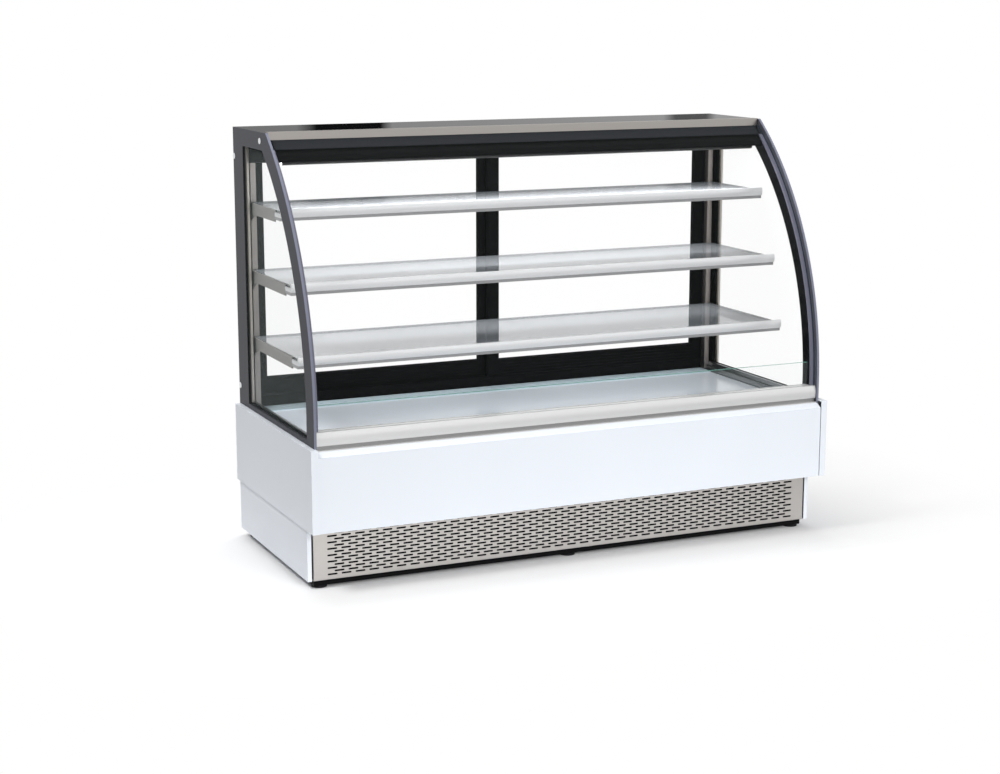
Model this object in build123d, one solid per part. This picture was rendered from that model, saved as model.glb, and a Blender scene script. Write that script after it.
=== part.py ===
from build123d import *
import os
from math import sqrt

os.makedirs("parts", exist_ok=True)

# Curved-glass refrigerated display cabinet for cakes, in millimetres.
# X runs along the cabinet, customers stand on the -Y side and Z is up.
# The origin is on the floor, under the middle of the cabinet.

# Overall size
overall_width = 1800.0
overall_depth = 775.0
glass_top_z = 1353.0

# Sheet metal and the gap left between pieces that only pass each other
sheet = 1.5
skirt_sheet = 2.0
gap = 0.3

# Feet and chassis
foot_height = 8.0
foot_diameter = 50.0
foot_stem_diameter = 10.0
foot_stem_length = 24.0
foot_nut_width = 17.0
foot_nut_height = 8.0
foot_hole_clearance = 0.5
chassis_height = 40.0
chassis_flange = 48.0
chassis_wall = 2.5
chassis_setback = 9.0
cross_member_x = 470.0
cross_member_width = 50.0
post_width = 42.0

# Plinth
plinth_bottom_z = 26.0
plinth_side_inset = 10.6
plinth_side_thickness = 13.0
plinth_front_inset = 85.2
plinth_rear_inset = 6.0
grille_end_gap = 5.0
slot_row_count = 15
slot_row_pitch = 10.0
first_slot_row_rise = 16.0
slot_height = 5.0
slot_length = 100.0
slot_column_pitch = 140.0
slot_field_margin = 48.4
vent_column_count = 8
vent_row_count = 8
vent_length = 150.0
vent_height = 6.0
vent_column_pitch = 205.0
vent_row_pitch = 16.0

# Skirts and fascia
skirt_bottom_z = 194.4
skirt_top_rise = 9.3
skirt_depth = 766.0
skirt_strip_width = 22.0
fascia_inset = 4.0
fascia_top_drop = 15.0
fascia_shadow_gap = 1.0
lip_run = 22.0

# Foam-insulated tank under the deck
tank_front_inset = 42.5
tank_rear_inset = 22.5
tank_bottom_z = 275.0
deck_z = 440.0
tank_wall = 35.0
tank_ledge_width = 15.0
tank_ledge_drop = 20.0
glass_seat_drop = 14.0
glass_seat_thickness = 6.0

# Deck
deck_side_gap = 8.2
deck_front_gap = 3.0
deck_sheet = 2.0
gutter_width = 77.0
gutter_rear_gap = 2.2
gutter_rise = 3.0
gutter_slot_count = 18
gutter_slot_length = 60.0
gutter_slot_width = 9.0
gutter_slot_pitch = 88.0
deck_trim_height = 28.0
deck_trim_width = 26.0
deck_trim_slot = 3.0

# Side glass: an outer and an inner pane, both bent over at the front
glass_ledge = 18.7
glass_front_inset = 25.0
side_glass_thickness = 7.8
pane_cavity = 7.5
inner_pane_thickness = 5.0
curve_start_rise = 70.0
roof_setback = 406.35
cap_diameter = 20.0
cap_height = 3.5
cap_front_inset = 54.6
cap_top_drop = 27.0
cap_rear_inset = 13.0
cap_rear_drop = 92.0
cap_low_inset = 17.0
cap_low_rise = 85.0

# Curved front glass and the strips behind its edges
front_glass_inset = 15.0
front_glass_thickness = 6.0
front_glass_seat_depth = 12.0
strip_thickness = 5.7
clamp_height = 27.5
top_strip_overhang = 1.0
top_strip_height = 24.0
top_strip_lip = 26.0
top_strip_rise = 2.0
top_strip_thickness = 3.0
top_strip_end_gap = 2.5
top_glass_thickness = 8.0

# Light header under the top glass
header_setback = 18.5
header_front_drop = 87.0
header_lip_height = 4.0
header_shoulder_rise = 19.0
header_rear_drop = 113.0
header_wall = 2.0
header_bearer_width = 26.0
lamp_width = 24.0
lamp_height = 9.0
lamp_setback = 22.0
lamp_end_gap = 25.7

# Bumper along the foot of the front glass
bumper_setback = 5.0
bumper_height = 56.0
bumper_depth = 46.0
bumper_nose_low_rise = 13.0
bumper_nose_rise = 34.0
bumper_nose_round = 5.0
bumper_nose_heel = 2.0
bumper_undercut = 9.0
bumper_lip_reach = 3.5
bumper_lip_thickness = 3.0
bumper_wall = 4.0
glazing_clearance = 0.5
riser_setback = 10.0
riser_thickness = 5.0
riser_height = 94.0
riser_channel_depth = 18.0

# Shelves: how far each rail stands behind the foot of the glass, and their heights
shelf_setbacks = {"top": 342.0, "middle": 254.0, "lower": 202.0}
top_shelf_drop = 228.0
shelf_step = 218.0
rail_end_gap = 3.7
rail_depth = 65.0
rail_height = 37.0
rail_face_height = 27.0
rail_nose_width = 12.0
rail_undercut = 8.0
rail_wall = 2.0
shelf_glass_drop = 7.0
shelf_glass_thickness = 8.0
shelf_rear_gap = 5.0
bracket_thickness = 4.0
bracket_ledge = 8.0
bracket_ledge_thickness = 3.0
bracket_front_depth = 36.0
bracket_hook_depth = 66.0
bracket_hook_length = 35.0
bracket_curve_length = 79.0
bracket_rear_gap = 2.0
bracket_top_drop = 1.0
hook_width = 10.0
hook_height = 14.0
hook_reach = 4.0
hook_first_drop = 10.0
hook_clearance = 0.4

# Slotted uprights
upright_side_gap = 1.0
upright_width = 18.0
upright_rear_gap = 7.0
upright_depth = 25.0
upright_wall = 2.0
upright_slot_pitch = 36.0

# Sliding doors at the rear
surround_depth = 50.0
jamb_width = 20.5
sill_height = 24.0
head_height = 49.0
track_rib_height = 12.0
track_front_wall = 3.5
track_rib_width = 3.0
track_width = 16.5
door_thickness = 15.0
door_clearance = 0.6
door_overlap = 20.0
stile_width = 43.0
bottom_rail_height = 65.4
top_rail_height = 45.0
door_glass_thickness = 5.0
door_glass_bite = 9.0
pull_width = 20.0
pull_offset = 18.0
pull_height = 130.0
pull_depth = 9.0
pull_rise = 405.4
rail_groove_count = 4
rail_groove_pitch = 11.0
rail_groove_width = 2.0
rail_groove_depth = 1.2

# Rear service panel with its controls
rear_panel_inset = 6.5
control_end_inset = 313.2
control_drop = 105.0
control_width = 190.0
control_height = 46.0
control_thickness = 4.5
control_wall = 2.5
control_depth = 14.0
control_corner_radius = 6.0
display_width = 46.0
display_height = 22.0
display_depth = 1.0
display_offset = -58.0
button_offsets = {"button_up": -12.0, "button_down": 8.0}
button_diameter = 10.0
button_clearance = 0.3
button_length = 9.0
button_proud = 1.6
button_flange = 1.5
button_flange_height = 1.2
button_travel = 1.2
rocker_offsets = {"rocker_power": 42.0, "rocker_light": 70.0}
rocker_width = 14.0
rocker_height = 22.0
rocker_depth = 9.0
rocker_clearance = 0.6
rocker_swing = 14.0
rocker_pin_diameter = 3.0
rocker_pin_length = 1.6
rocker_pin_clearance = 0.1

# Machinery
tray_half_length = 460.0
tray_setback = 8.3
tray_rear_y = 190.0
tray_rim_height = 16.0
compressor_x = -260.0
compressor_y = 60.0
compressor_radius = 78.0
compressor_height = 178.0
compressor_dome_radius = 48.0
compressor_plate_length = 210.0
compressor_plate_width = 150.0
compressor_plate_thickness = 4.0
compressor_foot_height = 10.0
compressor_foot_diameter = 20.0
compressor_foot_inset = 13.0
compressor_pipe_z = 150.0
compressor_stub_length = 12.0
terminal_reach = 24.0
terminal_width = 60.0
terminal_height = 60.0
terminal_lift = 30.0
condenser_x = 60.0
condenser_length = 420.0
condenser_height = 186.0
condenser_depth = 46.0
condenser_tube_depth = 28.0
condenser_setback = 13.3
fin_thickness = 2.0
condenser_fin_pitch = 14.0
coil_tube_diameter = 10.0
shroud_depth = 30.0
shroud_wall = 2.0
fan_diameter = 160.0
fan_tip_gap = 6.0
fan_hub_diameter = 44.0
fan_hub_length = 20.0
fan_blade_count = 5
fan_blade_thickness = 2.0
fan_blade_chord = 46.0
fan_blade_angle = 28.0
motor_diameter = 70.0
motor_length = 54.0
motor_gap = 4.0
motor_shaft_diameter = 8.0
shaft_clearance = 0.05
evaporator_length = 980.0
evaporator_height = 92.0
evaporator_depth = 100.0
evaporator_tube_depth = 84.0
evaporator_rear_gap = 95.0
evaporator_fin_pitch = 35.0
small_fan_diameter = 96.0
small_fan_hub_diameter = 30.0
small_fan_hub_length = 14.0
small_fan_chord = 30.0
small_fan_x = 250.0
small_fan_gap = 75.0
small_motor_diameter = 36.0
small_motor_length = 34.0
pan_x = 300.0
pan_length = 230.0
pan_width = 210.0
pan_height = 50.0
pan_y = 60.0
electrics_end_inset = 227.4
electrics_length = 220.0
electrics_width = 170.0
electrics_height = 130.0
electrics_rear_inset = 102.5
gland_end_inset = 273.2
gland_rise = 45.6
gland_diameter = 22.0
gland_bore = 9.0
gland_length = 14.0
pipe_diameter = 8.0

# Places that follow from the sizes above
half_width = overall_width / 2
front_y = -overall_depth / 2
rear_y = overall_depth / 2
plinth_x = half_width - plinth_side_inset
plinth_inner_x = plinth_x - plinth_side_thickness
plinth_front_y = front_y + plinth_front_inset
plinth_rear_y = rear_y - plinth_rear_inset
slot_field_half_length = plinth_inner_x - slot_field_margin
first_slot_row_z = plinth_bottom_z + first_slot_row_rise
chassis_x = plinth_inner_x - chassis_setback
chassis_front_y = plinth_front_y + chassis_setback
chassis_rear_y = plinth_rear_y - chassis_setback
chassis_bottom_z = foot_height
chassis_top_z = chassis_bottom_z + chassis_height
skirt_rear_y = front_y + skirt_depth
skirt_top_z = deck_z + skirt_top_rise
fascia_y = front_y + fascia_inset
fascia_top_z = deck_z - fascia_top_drop
fascia_half_length = half_width - skirt_strip_width - 2 * gap
glass_x = half_width - glass_ledge
glass_inner_x = glass_x - side_glass_thickness
glass_seat_z = deck_z - glass_seat_drop
glass_front_y = front_y + glass_front_inset
inner_pane_outer_x = glass_inner_x - pane_cavity
inner_pane_x = inner_pane_outer_x - inner_pane_thickness
between_glass_x = inner_pane_x - gap
curve_centre_z = deck_z + curve_start_rise
curve_height = glass_top_z - curve_centre_z
curve_radius = (roof_setback**2 + curve_height**2) / (2 * roof_setback)
curve_centre_y = glass_front_y + curve_radius
tank_x = glass_inner_x - gap
tank_front_y = front_y + tank_front_inset
tank_rear_y = rear_y - tank_rear_inset
tank_floor_z = tank_bottom_z + tank_wall
cavity_x = tank_x - tank_wall
cavity_front_y = tank_front_y + tank_wall
cavity_rear_y = tank_rear_y - tank_wall
ledge_z = deck_z - tank_ledge_drop
deck_half_length = cavity_x - deck_side_gap
deck_rear_y = cavity_rear_y - gutter_rear_gap - gutter_width - gap
front_glass_back = front_glass_inset + front_glass_thickness
strip_inset = front_glass_back + gap
inner_pane_inset = strip_inset + strip_thickness + gap
top_glass_bottom_z = glass_top_z - top_glass_thickness
top_strip_top_z = glass_top_z + top_strip_rise
front_glass_top_z = top_strip_top_z - top_strip_height
clamp_bottom_z = front_glass_top_z - clamp_height
header_front_z = glass_top_z - header_front_drop
header_shoulder_z = header_front_z + header_shoulder_rise
header_rear_z = glass_top_z - header_rear_drop
lamp_half_length = between_glass_x - lamp_end_gap
bumper_front_y = glass_front_y + bumper_setback
bumper_rear_y = bumper_front_y + bumper_depth
bumper_top_z = deck_z + bumper_height
bumper_undercut_y = bumper_front_y + bumper_undercut
front_glass_foot_z = bumper_top_z - front_glass_seat_depth
riser_front_y = bumper_rear_y - riser_setback
riser_foot_z = bumper_top_z - riser_channel_depth
surround_front_y = rear_y - surround_depth
surround_x = between_glass_x
jamb_x = surround_x - jamb_width
sill_z = deck_z + sill_height
head_bottom_z = top_glass_bottom_z - head_height
header_rear_y = surround_front_y
rail_half_length = between_glass_x - rail_end_gap
shelf_tops = {
    "top": glass_top_z - top_shelf_drop,
    "middle": glass_top_z - top_shelf_drop - shelf_step,
    "lower": glass_top_z - top_shelf_drop - 2 * shelf_step,
}
shelf_places = {
    place: (glass_front_y + setback, shelf_tops[place]) for place, setback in shelf_setbacks.items()
}
upright_front_y = surround_front_y - upright_rear_gap - upright_depth
shelf_rear_y = upright_front_y - shelf_rear_gap
bracket_rear_y = surround_front_y - bracket_rear_gap
bracket_hook_y = bracket_rear_y - bracket_hook_length
bracket_curve_y = bracket_hook_y - bracket_curve_length
bracket_outer_x = rail_half_length
bracket_inner_x = bracket_outer_x - bracket_thickness
shelf_half_length = bracket_inner_x - gap
upright_outer_x = bracket_inner_x - upright_side_gap
door_bottom_z = sill_z + door_clearance
door_top_z = head_bottom_z - door_clearance
bottom_rail_top_z = door_bottom_z + bottom_rail_height
pull_z = door_bottom_z + pull_rise
track_offset = (track_width - door_thickness) / 2
front_track_y = surround_front_y + track_front_wall
rear_track_y = front_track_y + track_width + track_rib_width
rear_panel_y = rear_y - rear_panel_inset
control_x = -tank_x + control_end_inset
control_z = deck_z - control_drop
rocker_pivot_y = rear_panel_y + control_thickness / 2
gland_x = tank_x - gland_end_inset
gland_z = skirt_bottom_z + gland_rise
gland_body_diameter = gland_diameter * 0.64
tray_z = chassis_top_z + sheet
tray_front_y = chassis_front_y + tray_setback
condenser_front_y = chassis_front_y + condenser_setback
condenser_rear_y = condenser_front_y + condenser_depth
shroud_rear_y = condenser_rear_y + shroud_depth
fan_z = tray_z + condenser_height / 2
fan_y = shroud_rear_y
motor_y = fan_y + fan_hub_length / 2 + motor_gap
evaporator_rear_y = cavity_rear_y - evaporator_rear_gap
small_fan_y = evaporator_rear_y - evaporator_depth - small_fan_gap
small_fan_z = tank_floor_z + small_fan_diameter / 2 + fan_tip_gap
small_shaft_diameter = motor_shaft_diameter * 0.75
small_motor_y = small_fan_y + small_fan_hub_length / 2 + motor_gap
electrics_x = -chassis_x + electrics_end_inset
electrics_y = chassis_rear_y - electrics_rear_inset


def block(low_x, high_x, low_y, high_y, low_z, high_z):
    """Box between two corners."""
    solid = Box(high_x - low_x, high_y - low_y, high_z - low_z)
    centre = Pos((low_x + high_x) / 2, (low_y + high_y) / 2, (low_z + high_z) / 2)
    return centre * solid


def bar_along_x(outline, low_x, high_x):
    """Extrusion along X of an outline drawn in (y, z)."""
    face = Pos(low_x, 0, 0) * (Plane.YZ * make_face(outline))
    return extrude(face, high_x - low_x, dir=(1, 0, 0))


def bar_along_y(outline, low_y, high_y):
    """Extrusion along Y of an outline drawn in (x, z)."""
    face = Pos(0, low_y, 0) * (Plane.XZ * make_face(outline))
    return extrude(face, high_y - low_y, dir=(0, 1, 0))


def rod_along_x(diameter, low_x, high_x, y, z):
    """Round bar along X."""
    rod = Rot(0, 90, 0) * Cylinder(diameter / 2, high_x - low_x)
    return Pos((low_x + high_x) / 2, y, z) * rod


def rod_along_y(diameter, x, low_y, high_y, z):
    """Round bar along Y."""
    rod = Rot(90, 0, 0) * Cylinder(diameter / 2, high_y - low_y)
    return Pos(x, (low_y + high_y) / 2, z) * rod


def rod_along_z(diameter, x, y, low_z, high_z):
    """Round bar along Z."""
    rod = Cylinder(diameter / 2, high_z - low_z)
    return Pos(x, y, (low_z + high_z) / 2) * rod


def opposite(solid):
    """The same piece at the other end of the cabinet."""
    return mirror(solid, about=Plane.YZ)


def curve_y(inset, z):
    """Depth at height z of the curve a given distance inside the side glass outline."""
    radius = curve_radius - inset
    rise = max(z - curve_centre_z, 0.0)
    return curve_centre_y - sqrt(radius**2 - rise**2)


def curve_arc(inset, low_z, high_z):
    """Piece of that curve between two heights, both above the start of the bend."""
    middle_z = (low_z + high_z) / 2
    ends = [(curve_y(inset, z), z) for z in (low_z, middle_z, high_z)]
    return ThreePointArc(*ends)


def curved_strip(outer_inset, inner_inset, low_z, high_z):
    """Outline of a strip that runs down the bend and on straight below it."""
    outer_low = (curve_y(outer_inset, low_z), low_z)
    inner_low = (curve_y(inner_inset, low_z), low_z)
    outer_bend = (curve_y(outer_inset, curve_centre_z), curve_centre_z)
    inner_bend = (curve_y(inner_inset, curve_centre_z), curve_centre_z)
    outer_high = (curve_y(outer_inset, high_z), high_z)
    inner_high = (curve_y(inner_inset, high_z), high_z)
    outline = Line(outer_low, outer_bend)
    outline += curve_arc(outer_inset, curve_centre_z, high_z)
    outline += Line(outer_high, inner_high)
    outline += curve_arc(inner_inset, curve_centre_z, high_z)
    outline += Polyline(inner_bend, inner_low, outer_low)
    return outline


header_front_y = curve_y(front_glass_back, header_front_z) + header_setback
top_strip_face_y = curve_y(front_glass_back, front_glass_top_z) - top_strip_overhang
top_strip_foot_y = curve_y(inner_pane_inset, front_glass_top_z) - gap


def header_underside_z(y):
    """Height of the header's sloping underside."""
    share = (y - header_front_y) / (header_rear_y - header_front_y)
    return header_front_z + share * (header_rear_z - header_front_z)


def foot_places():
    """Where the six feet stand."""
    side = chassis_x - chassis_flange / 2
    front = chassis_front_y + chassis_flange / 2
    rear = chassis_rear_y - chassis_flange / 2
    return [(x, y) for x in (-side, 0.0, side) for y in (front, rear)]


def chassis_frame():
    """Ring of channels open to the inside, two cross members and four corner posts."""
    wall = chassis_wall
    ring = block(-chassis_x, chassis_x, chassis_front_y, chassis_rear_y, chassis_bottom_z, chassis_top_z)
    flange = chassis_flange
    ring -= block(
        -chassis_x + flange,
        chassis_x - flange,
        chassis_front_y + flange,
        chassis_rear_y - flange,
        chassis_bottom_z,
        chassis_top_z,
    )
    ring -= block(
        -chassis_x + wall,
        chassis_x - wall,
        chassis_front_y + wall,
        chassis_rear_y - wall,
        chassis_bottom_z + wall,
        chassis_top_z - wall,
    )
    half = cross_member_width / 2
    for x in (-cross_member_x, cross_member_x):
        low_y = chassis_front_y + wall
        high_y = chassis_rear_y - wall
        low_z = chassis_bottom_z + wall
        member = block(x - half, x + half, low_y, high_y, low_z, chassis_top_z)
        member -= block(x - half + wall, x + half - wall, low_y, high_y, low_z, chassis_top_z - wall)
        ring += member
    for x in (-chassis_x, chassis_x):
        for y in (chassis_front_y, chassis_rear_y):
            inward_x = post_width if x < 0 else -post_width
            inward_y = post_width if y < 0 else -post_width
            thin_x = wall if x < 0 else -wall
            thin_y = wall if y < 0 else -wall
            low_z = chassis_top_z - wall
            xs = sorted((x, x + inward_x))
            ys = sorted((y, y + inward_y))
            post = block(xs[0], xs[1], ys[0], ys[1], low_z, tank_bottom_z)
            hollow_x = sorted((x + thin_x, x + inward_x))
            hollow_y = sorted((y + thin_y, y + inward_y))
            post -= block(
                hollow_x[0], hollow_x[1], hollow_y[0], hollow_y[1], low_z + wall, tank_bottom_z - wall
            )
            ring += post
    hole = foot_stem_diameter + 2 * foot_hole_clearance
    for x, y in foot_places():
        ring -= rod_along_z(hole, x, y, chassis_bottom_z, chassis_bottom_z + wall)
    return ring


def levelling_feet():
    """Six glide feet, each with its stem and lock nut."""
    feet = []
    for x, y in foot_places():
        disc = rod_along_z(foot_diameter, x, y, 0.0, foot_height)
        disc = chamfer(disc.edges().sort_by(Axis.Z)[-1], foot_height / 2)
        stem = rod_along_z(foot_stem_diameter, x, y, foot_height / 2, foot_height + foot_stem_length)
        nut_z = chassis_bottom_z + chassis_wall
        hexagon = RegularPolygon(foot_nut_width / 2, 6, major_radius=False)
        nut = extrude(Pos(x, y, nut_z) * hexagon, foot_nut_height)
        feet.append(disc + stem + nut)
    return Compound(children=feet)


def base_side_right():
    """Folded side panel of the plinth, open towards the machine."""
    panel = block(
        plinth_inner_x, plinth_x, plinth_front_y, plinth_rear_y, plinth_bottom_z, skirt_bottom_z
    )
    panel -= block(
        plinth_inner_x,
        plinth_x - sheet,
        plinth_front_y + sheet,
        plinth_rear_y - sheet,
        plinth_bottom_z + sheet,
        skirt_bottom_z - sheet,
    )
    for low_z in (plinth_bottom_z, skirt_bottom_z - sheet):
        panel += block(
            chassis_x, plinth_inner_x, chassis_front_y, chassis_rear_y, low_z, low_z + sheet
        )
    return panel


def grille_slots():
    """Staggered rows of slots through the front grille."""
    slots = []
    for row in range(slot_row_count):
        stagger = (row % 2) * slot_column_pitch / 2
        x = -slot_field_half_length + slot_length / 2 + stagger
        z = first_slot_row_z + row * slot_row_pitch
        while x + slot_length / 2 <= slot_field_half_length:
            slots.append(
                block(
                    x - slot_length / 2,
                    x + slot_length / 2,
                    plinth_front_y,
                    plinth_front_y + sheet,
                    z - slot_height / 2,
                    z + slot_height / 2,
                )
            )
            x += slot_column_pitch
    return slots


def front_grille():
    """Perforated stainless front of the plinth, folded back top and bottom."""
    end_x = plinth_inner_x - grille_end_gap
    plate = block(-end_x, end_x, plinth_front_y, chassis_front_y, plinth_bottom_z, skirt_bottom_z)
    plate -= block(
        -end_x,
        end_x,
        plinth_front_y + sheet,
        chassis_front_y,
        plinth_bottom_z + sheet,
        skirt_bottom_z - sheet,
    )
    return plate - grille_slots()


def rear_grille():
    """Vented rear cover of the plinth."""
    end_x = plinth_inner_x - grille_end_gap
    outer_y = rear_panel_y
    plate = block(-end_x, end_x, chassis_rear_y, outer_y, plinth_bottom_z, skirt_bottom_z)
    plate -= block(
        -end_x, end_x, chassis_rear_y, outer_y - sheet, plinth_bottom_z + sheet, skirt_bottom_z - sheet
    )
    middle_z = (plinth_bottom_z + skirt_bottom_z) / 2
    vents = []
    for column in range(vent_column_count):
        x = (column - (vent_column_count - 1) / 2) * vent_column_pitch
        for row in range(vent_row_count):
            z = middle_z + (row - (vent_row_count - 1) / 2) * vent_row_pitch
            vents.append(
                block(
                    x - vent_length / 2,
                    x + vent_length / 2,
                    outer_y - sheet,
                    outer_y,
                    z - vent_height / 2,
                    z + vent_height / 2,
                )
            )
    return plate - vents


def insulated_tank():
    """Foam-filled tub with a ledge for the deck and a seat along each side for the glass."""
    tank = block(-tank_x, tank_x, tank_front_y, tank_rear_y, tank_bottom_z, deck_z)
    tank -= block(-cavity_x, cavity_x, cavity_front_y, cavity_rear_y, ledge_z, deck_z)
    step = tank_ledge_width
    tank -= block(
        -cavity_x + step,
        cavity_x - step,
        cavity_front_y + step,
        cavity_rear_y - step,
        tank_floor_z,
        ledge_z,
    )
    for low_x, high_x in ((tank_x, glass_x), (-glass_x, -tank_x)):
        low_z = glass_seat_z - glass_seat_thickness
        tank += block(low_x, high_x, tank_front_y, tank_rear_y, low_z, glass_seat_z)
    return tank


def deck_panel():
    """Display deck folded down all round on to the tank's ledge."""
    front = cavity_front_y + deck_front_gap
    deck = block(-deck_half_length, deck_half_length, front, deck_rear_y, ledge_z, deck_z)
    inner = deck_half_length - deck_sheet
    deck -= block(
        -inner, inner, front + deck_sheet, deck_rear_y - deck_sheet, ledge_z, deck_z - deck_sheet
    )
    return deck


def rear_air_grille():
    """Slotted strip that lets the cold air up behind the deck."""
    low_y = deck_rear_y + gap
    high_y = low_y + gutter_width
    top_z = deck_z + gutter_rise
    strip = block(-deck_half_length, deck_half_length, low_y, high_y, ledge_z, top_z)
    inner = deck_half_length - deck_sheet
    strip -= block(
        -inner, inner, low_y + deck_sheet, high_y - deck_sheet, ledge_z, top_z - deck_sheet
    )
    middle_y = (low_y + high_y) / 2
    slots = []
    for index in range(gutter_slot_count):
        x = (index - (gutter_slot_count - 1) / 2) * gutter_slot_pitch
        slots.append(
            block(
                x - gutter_slot_length / 2,
                x + gutter_slot_length / 2,
                middle_y - gutter_slot_width / 2,
                middle_y + gutter_slot_width / 2,
                top_z - deck_sheet,
                top_z,
            )
        )
    return strip - slots


def deck_trims():
    """Stepped steel trims along both sides of the deck."""
    outer_x = between_glass_x
    inner_x = outer_x - deck_trim_width
    top_z = deck_z + deck_trim_height
    slot_z = deck_z + deck_trim_height / 2
    outline = Polyline(
        (outer_x, deck_z),
        (outer_x, top_z),
        (outer_x - deck_trim_width * 0.3, top_z),
        (outer_x - deck_trim_width * 0.45, slot_z + deck_trim_slot),
        (outer_x - deck_trim_width * 0.3, slot_z + deck_trim_slot),
        (outer_x - deck_trim_width * 0.3, slot_z),
        (outer_x - deck_trim_width * 0.6, slot_z),
        (inner_x, deck_z + deck_trim_slot),
        (inner_x, deck_z),
        close=True,
    )
    right = bar_along_y(outline, bumper_rear_y + gap, upright_front_y - gap)
    return Compound(children=[right, opposite(right)])


def skirt_right():
    """Folded pan that covers the side of the tank and stands on the plinth."""
    low_x = half_width - skirt_strip_width
    thin = skirt_sheet
    pan = block(low_x, half_width, front_y, skirt_rear_y, skirt_bottom_z, skirt_top_z)
    pan -= block(
        low_x,
        half_width - thin,
        front_y + thin,
        skirt_rear_y - thin,
        skirt_bottom_z + thin,
        skirt_top_z - thin,
    )
    seat_z = glass_seat_z - glass_seat_thickness - gap
    return pan - block(low_x, glass_x + gap, glass_front_y - gap, rear_y, seat_z, skirt_top_z)


def front_fascia():
    """White fascia sheet, returned to the grille at its foot and to the tank at its top."""
    half = fascia_half_length
    thin = skirt_sheet
    face = block(-half, half, fascia_y, fascia_y + thin, skirt_bottom_z, fascia_top_z)
    foot = block(
        -half, half, fascia_y, chassis_front_y, skirt_bottom_z, skirt_bottom_z + thin
    )
    top = block(-half, half, fascia_y, tank_front_y, fascia_top_z - thin, fascia_top_z)
    return face + foot + top


def fascia_lip():
    """Sloping white lip between the fascia and the bumper."""
    low_z = fascia_top_z + fascia_shadow_gap
    crest_y = fascia_y + lip_run
    outline = Polyline(
        (fascia_y, low_z),
        (crest_y, deck_z),
        (tank_front_y, deck_z),
        (tank_front_y, deck_z - sheet),
        (crest_y + sheet / 2, deck_z - sheet),
        (fascia_y + 2 * sheet, low_z),
        (fascia_y + 2 * sheet, fascia_top_z),
        (fascia_y + sheet, fascia_top_z),
        (fascia_y + sheet, low_z),
        close=True,
    )
    lip = bar_along_x(outline, -fascia_half_length, fascia_half_length)
    for low_x, high_x in ((tank_x, glass_x), (-glass_x, -tank_x)):
        lip -= block(low_x, high_x, glass_front_y - gap, tank_front_y, fascia_top_z, deck_z)
    return lip


def front_bumper():
    """Hollow rounded extrusion that holds the front glass and the riser glass."""
    glass_front = curve_y(front_glass_inset, bumper_top_z) - glazing_clearance
    glass_back = curve_y(front_glass_back, bumper_top_z) + glazing_clearance
    glass_foot = front_glass_foot_z
    riser_front = riser_front_y - glazing_clearance
    riser_back = riser_front_y + riser_thickness + glazing_clearance
    riser_foot = riser_foot_z
    lip_top = deck_z + bumper_lip_thickness
    lip_y = bumper_front_y - bumper_lip_reach
    nose_low_z = deck_z + bumper_nose_low_rise
    heel = (bumper_front_y + bumper_nose_round / 2, nose_low_z + bumper_nose_heel)
    crown = (bumper_front_y + bumper_nose_round, bumper_top_z)
    outline = Polyline(
        (bumper_rear_y, deck_z),
        (lip_y, deck_z),
        (lip_y, lip_top),
        (bumper_undercut_y, lip_top),
        (bumper_undercut_y, nose_low_z),
        heel,
    )
    outline += ThreePointArc(heel, (bumper_front_y, deck_z + bumper_nose_rise), crown)
    outline += Polyline(
        crown,
        (glass_front, bumper_top_z),
        (glass_front, glass_foot),
        (glass_back, glass_foot),
        (glass_back, bumper_top_z),
        (riser_front, bumper_top_z),
        (riser_front, riser_foot),
        (riser_back, riser_foot),
        (riser_back, bumper_top_z),
        (bumper_rear_y, bumper_top_z),
        (bumper_rear_y, deck_z),
    )
    bar = bar_along_x(outline, -tank_x, tank_x)
    chamber_top = min(glass_foot, riser_foot) - bumper_wall
    chamber = block(
        -tank_x,
        tank_x,
        bumper_undercut_y + bumper_wall,
        bumper_rear_y - bumper_wall,
        deck_z + bumper_wall,
        chamber_top,
    )
    return bar - chamber


def front_riser_glass():
    """Low clear pane that stands in the bumper's rear channel."""
    back = riser_front_y + riser_thickness
    high_z = riser_foot_z + riser_height
    return block(-between_glass_x, between_glass_x, riser_front_y, back, riser_foot_z, high_z)


def side_glass_right():
    """Outer side pane with its bent-over front edge."""
    outline = Polyline(
        (curve_y(0.0, glass_top_z), glass_top_z),
        (rear_y, glass_top_z),
        (rear_y, glass_seat_z),
        (glass_front_y, glass_seat_z),
        (glass_front_y, curve_centre_z),
    )
    outline += curve_arc(0.0, curve_centre_z, glass_top_z)
    return bar_along_x(outline, glass_inner_x, glass_x)


def side_inner_glass():
    """Inner pane at both sides, notched over the bumper."""
    inset = inner_pane_inset
    outline = Polyline(
        (curve_y(inset, top_glass_bottom_z), top_glass_bottom_z),
        (rear_y, top_glass_bottom_z),
        (rear_y, deck_z),
        (bumper_rear_y + gap, deck_z),
        (bumper_rear_y + gap, bumper_top_z),
        (curve_y(inset, bumper_top_z), bumper_top_z),
        (curve_y(inset, curve_centre_z), curve_centre_z),
    )
    outline += curve_arc(inset, curve_centre_z, top_glass_bottom_z)
    right = bar_along_x(outline, inner_pane_x, inner_pane_outer_x)
    return Compound(children=[right, opposite(right)])


def corner_trims():
    """Strips that close the gap between the two side panes behind the front glass."""
    outline = curved_strip(
        strip_inset, strip_inset + strip_thickness, bumper_top_z, clamp_bottom_z - gap
    )
    right = bar_along_x(outline, inner_pane_x, glass_inner_x)
    return Compound(children=[right, opposite(right)])


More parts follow.
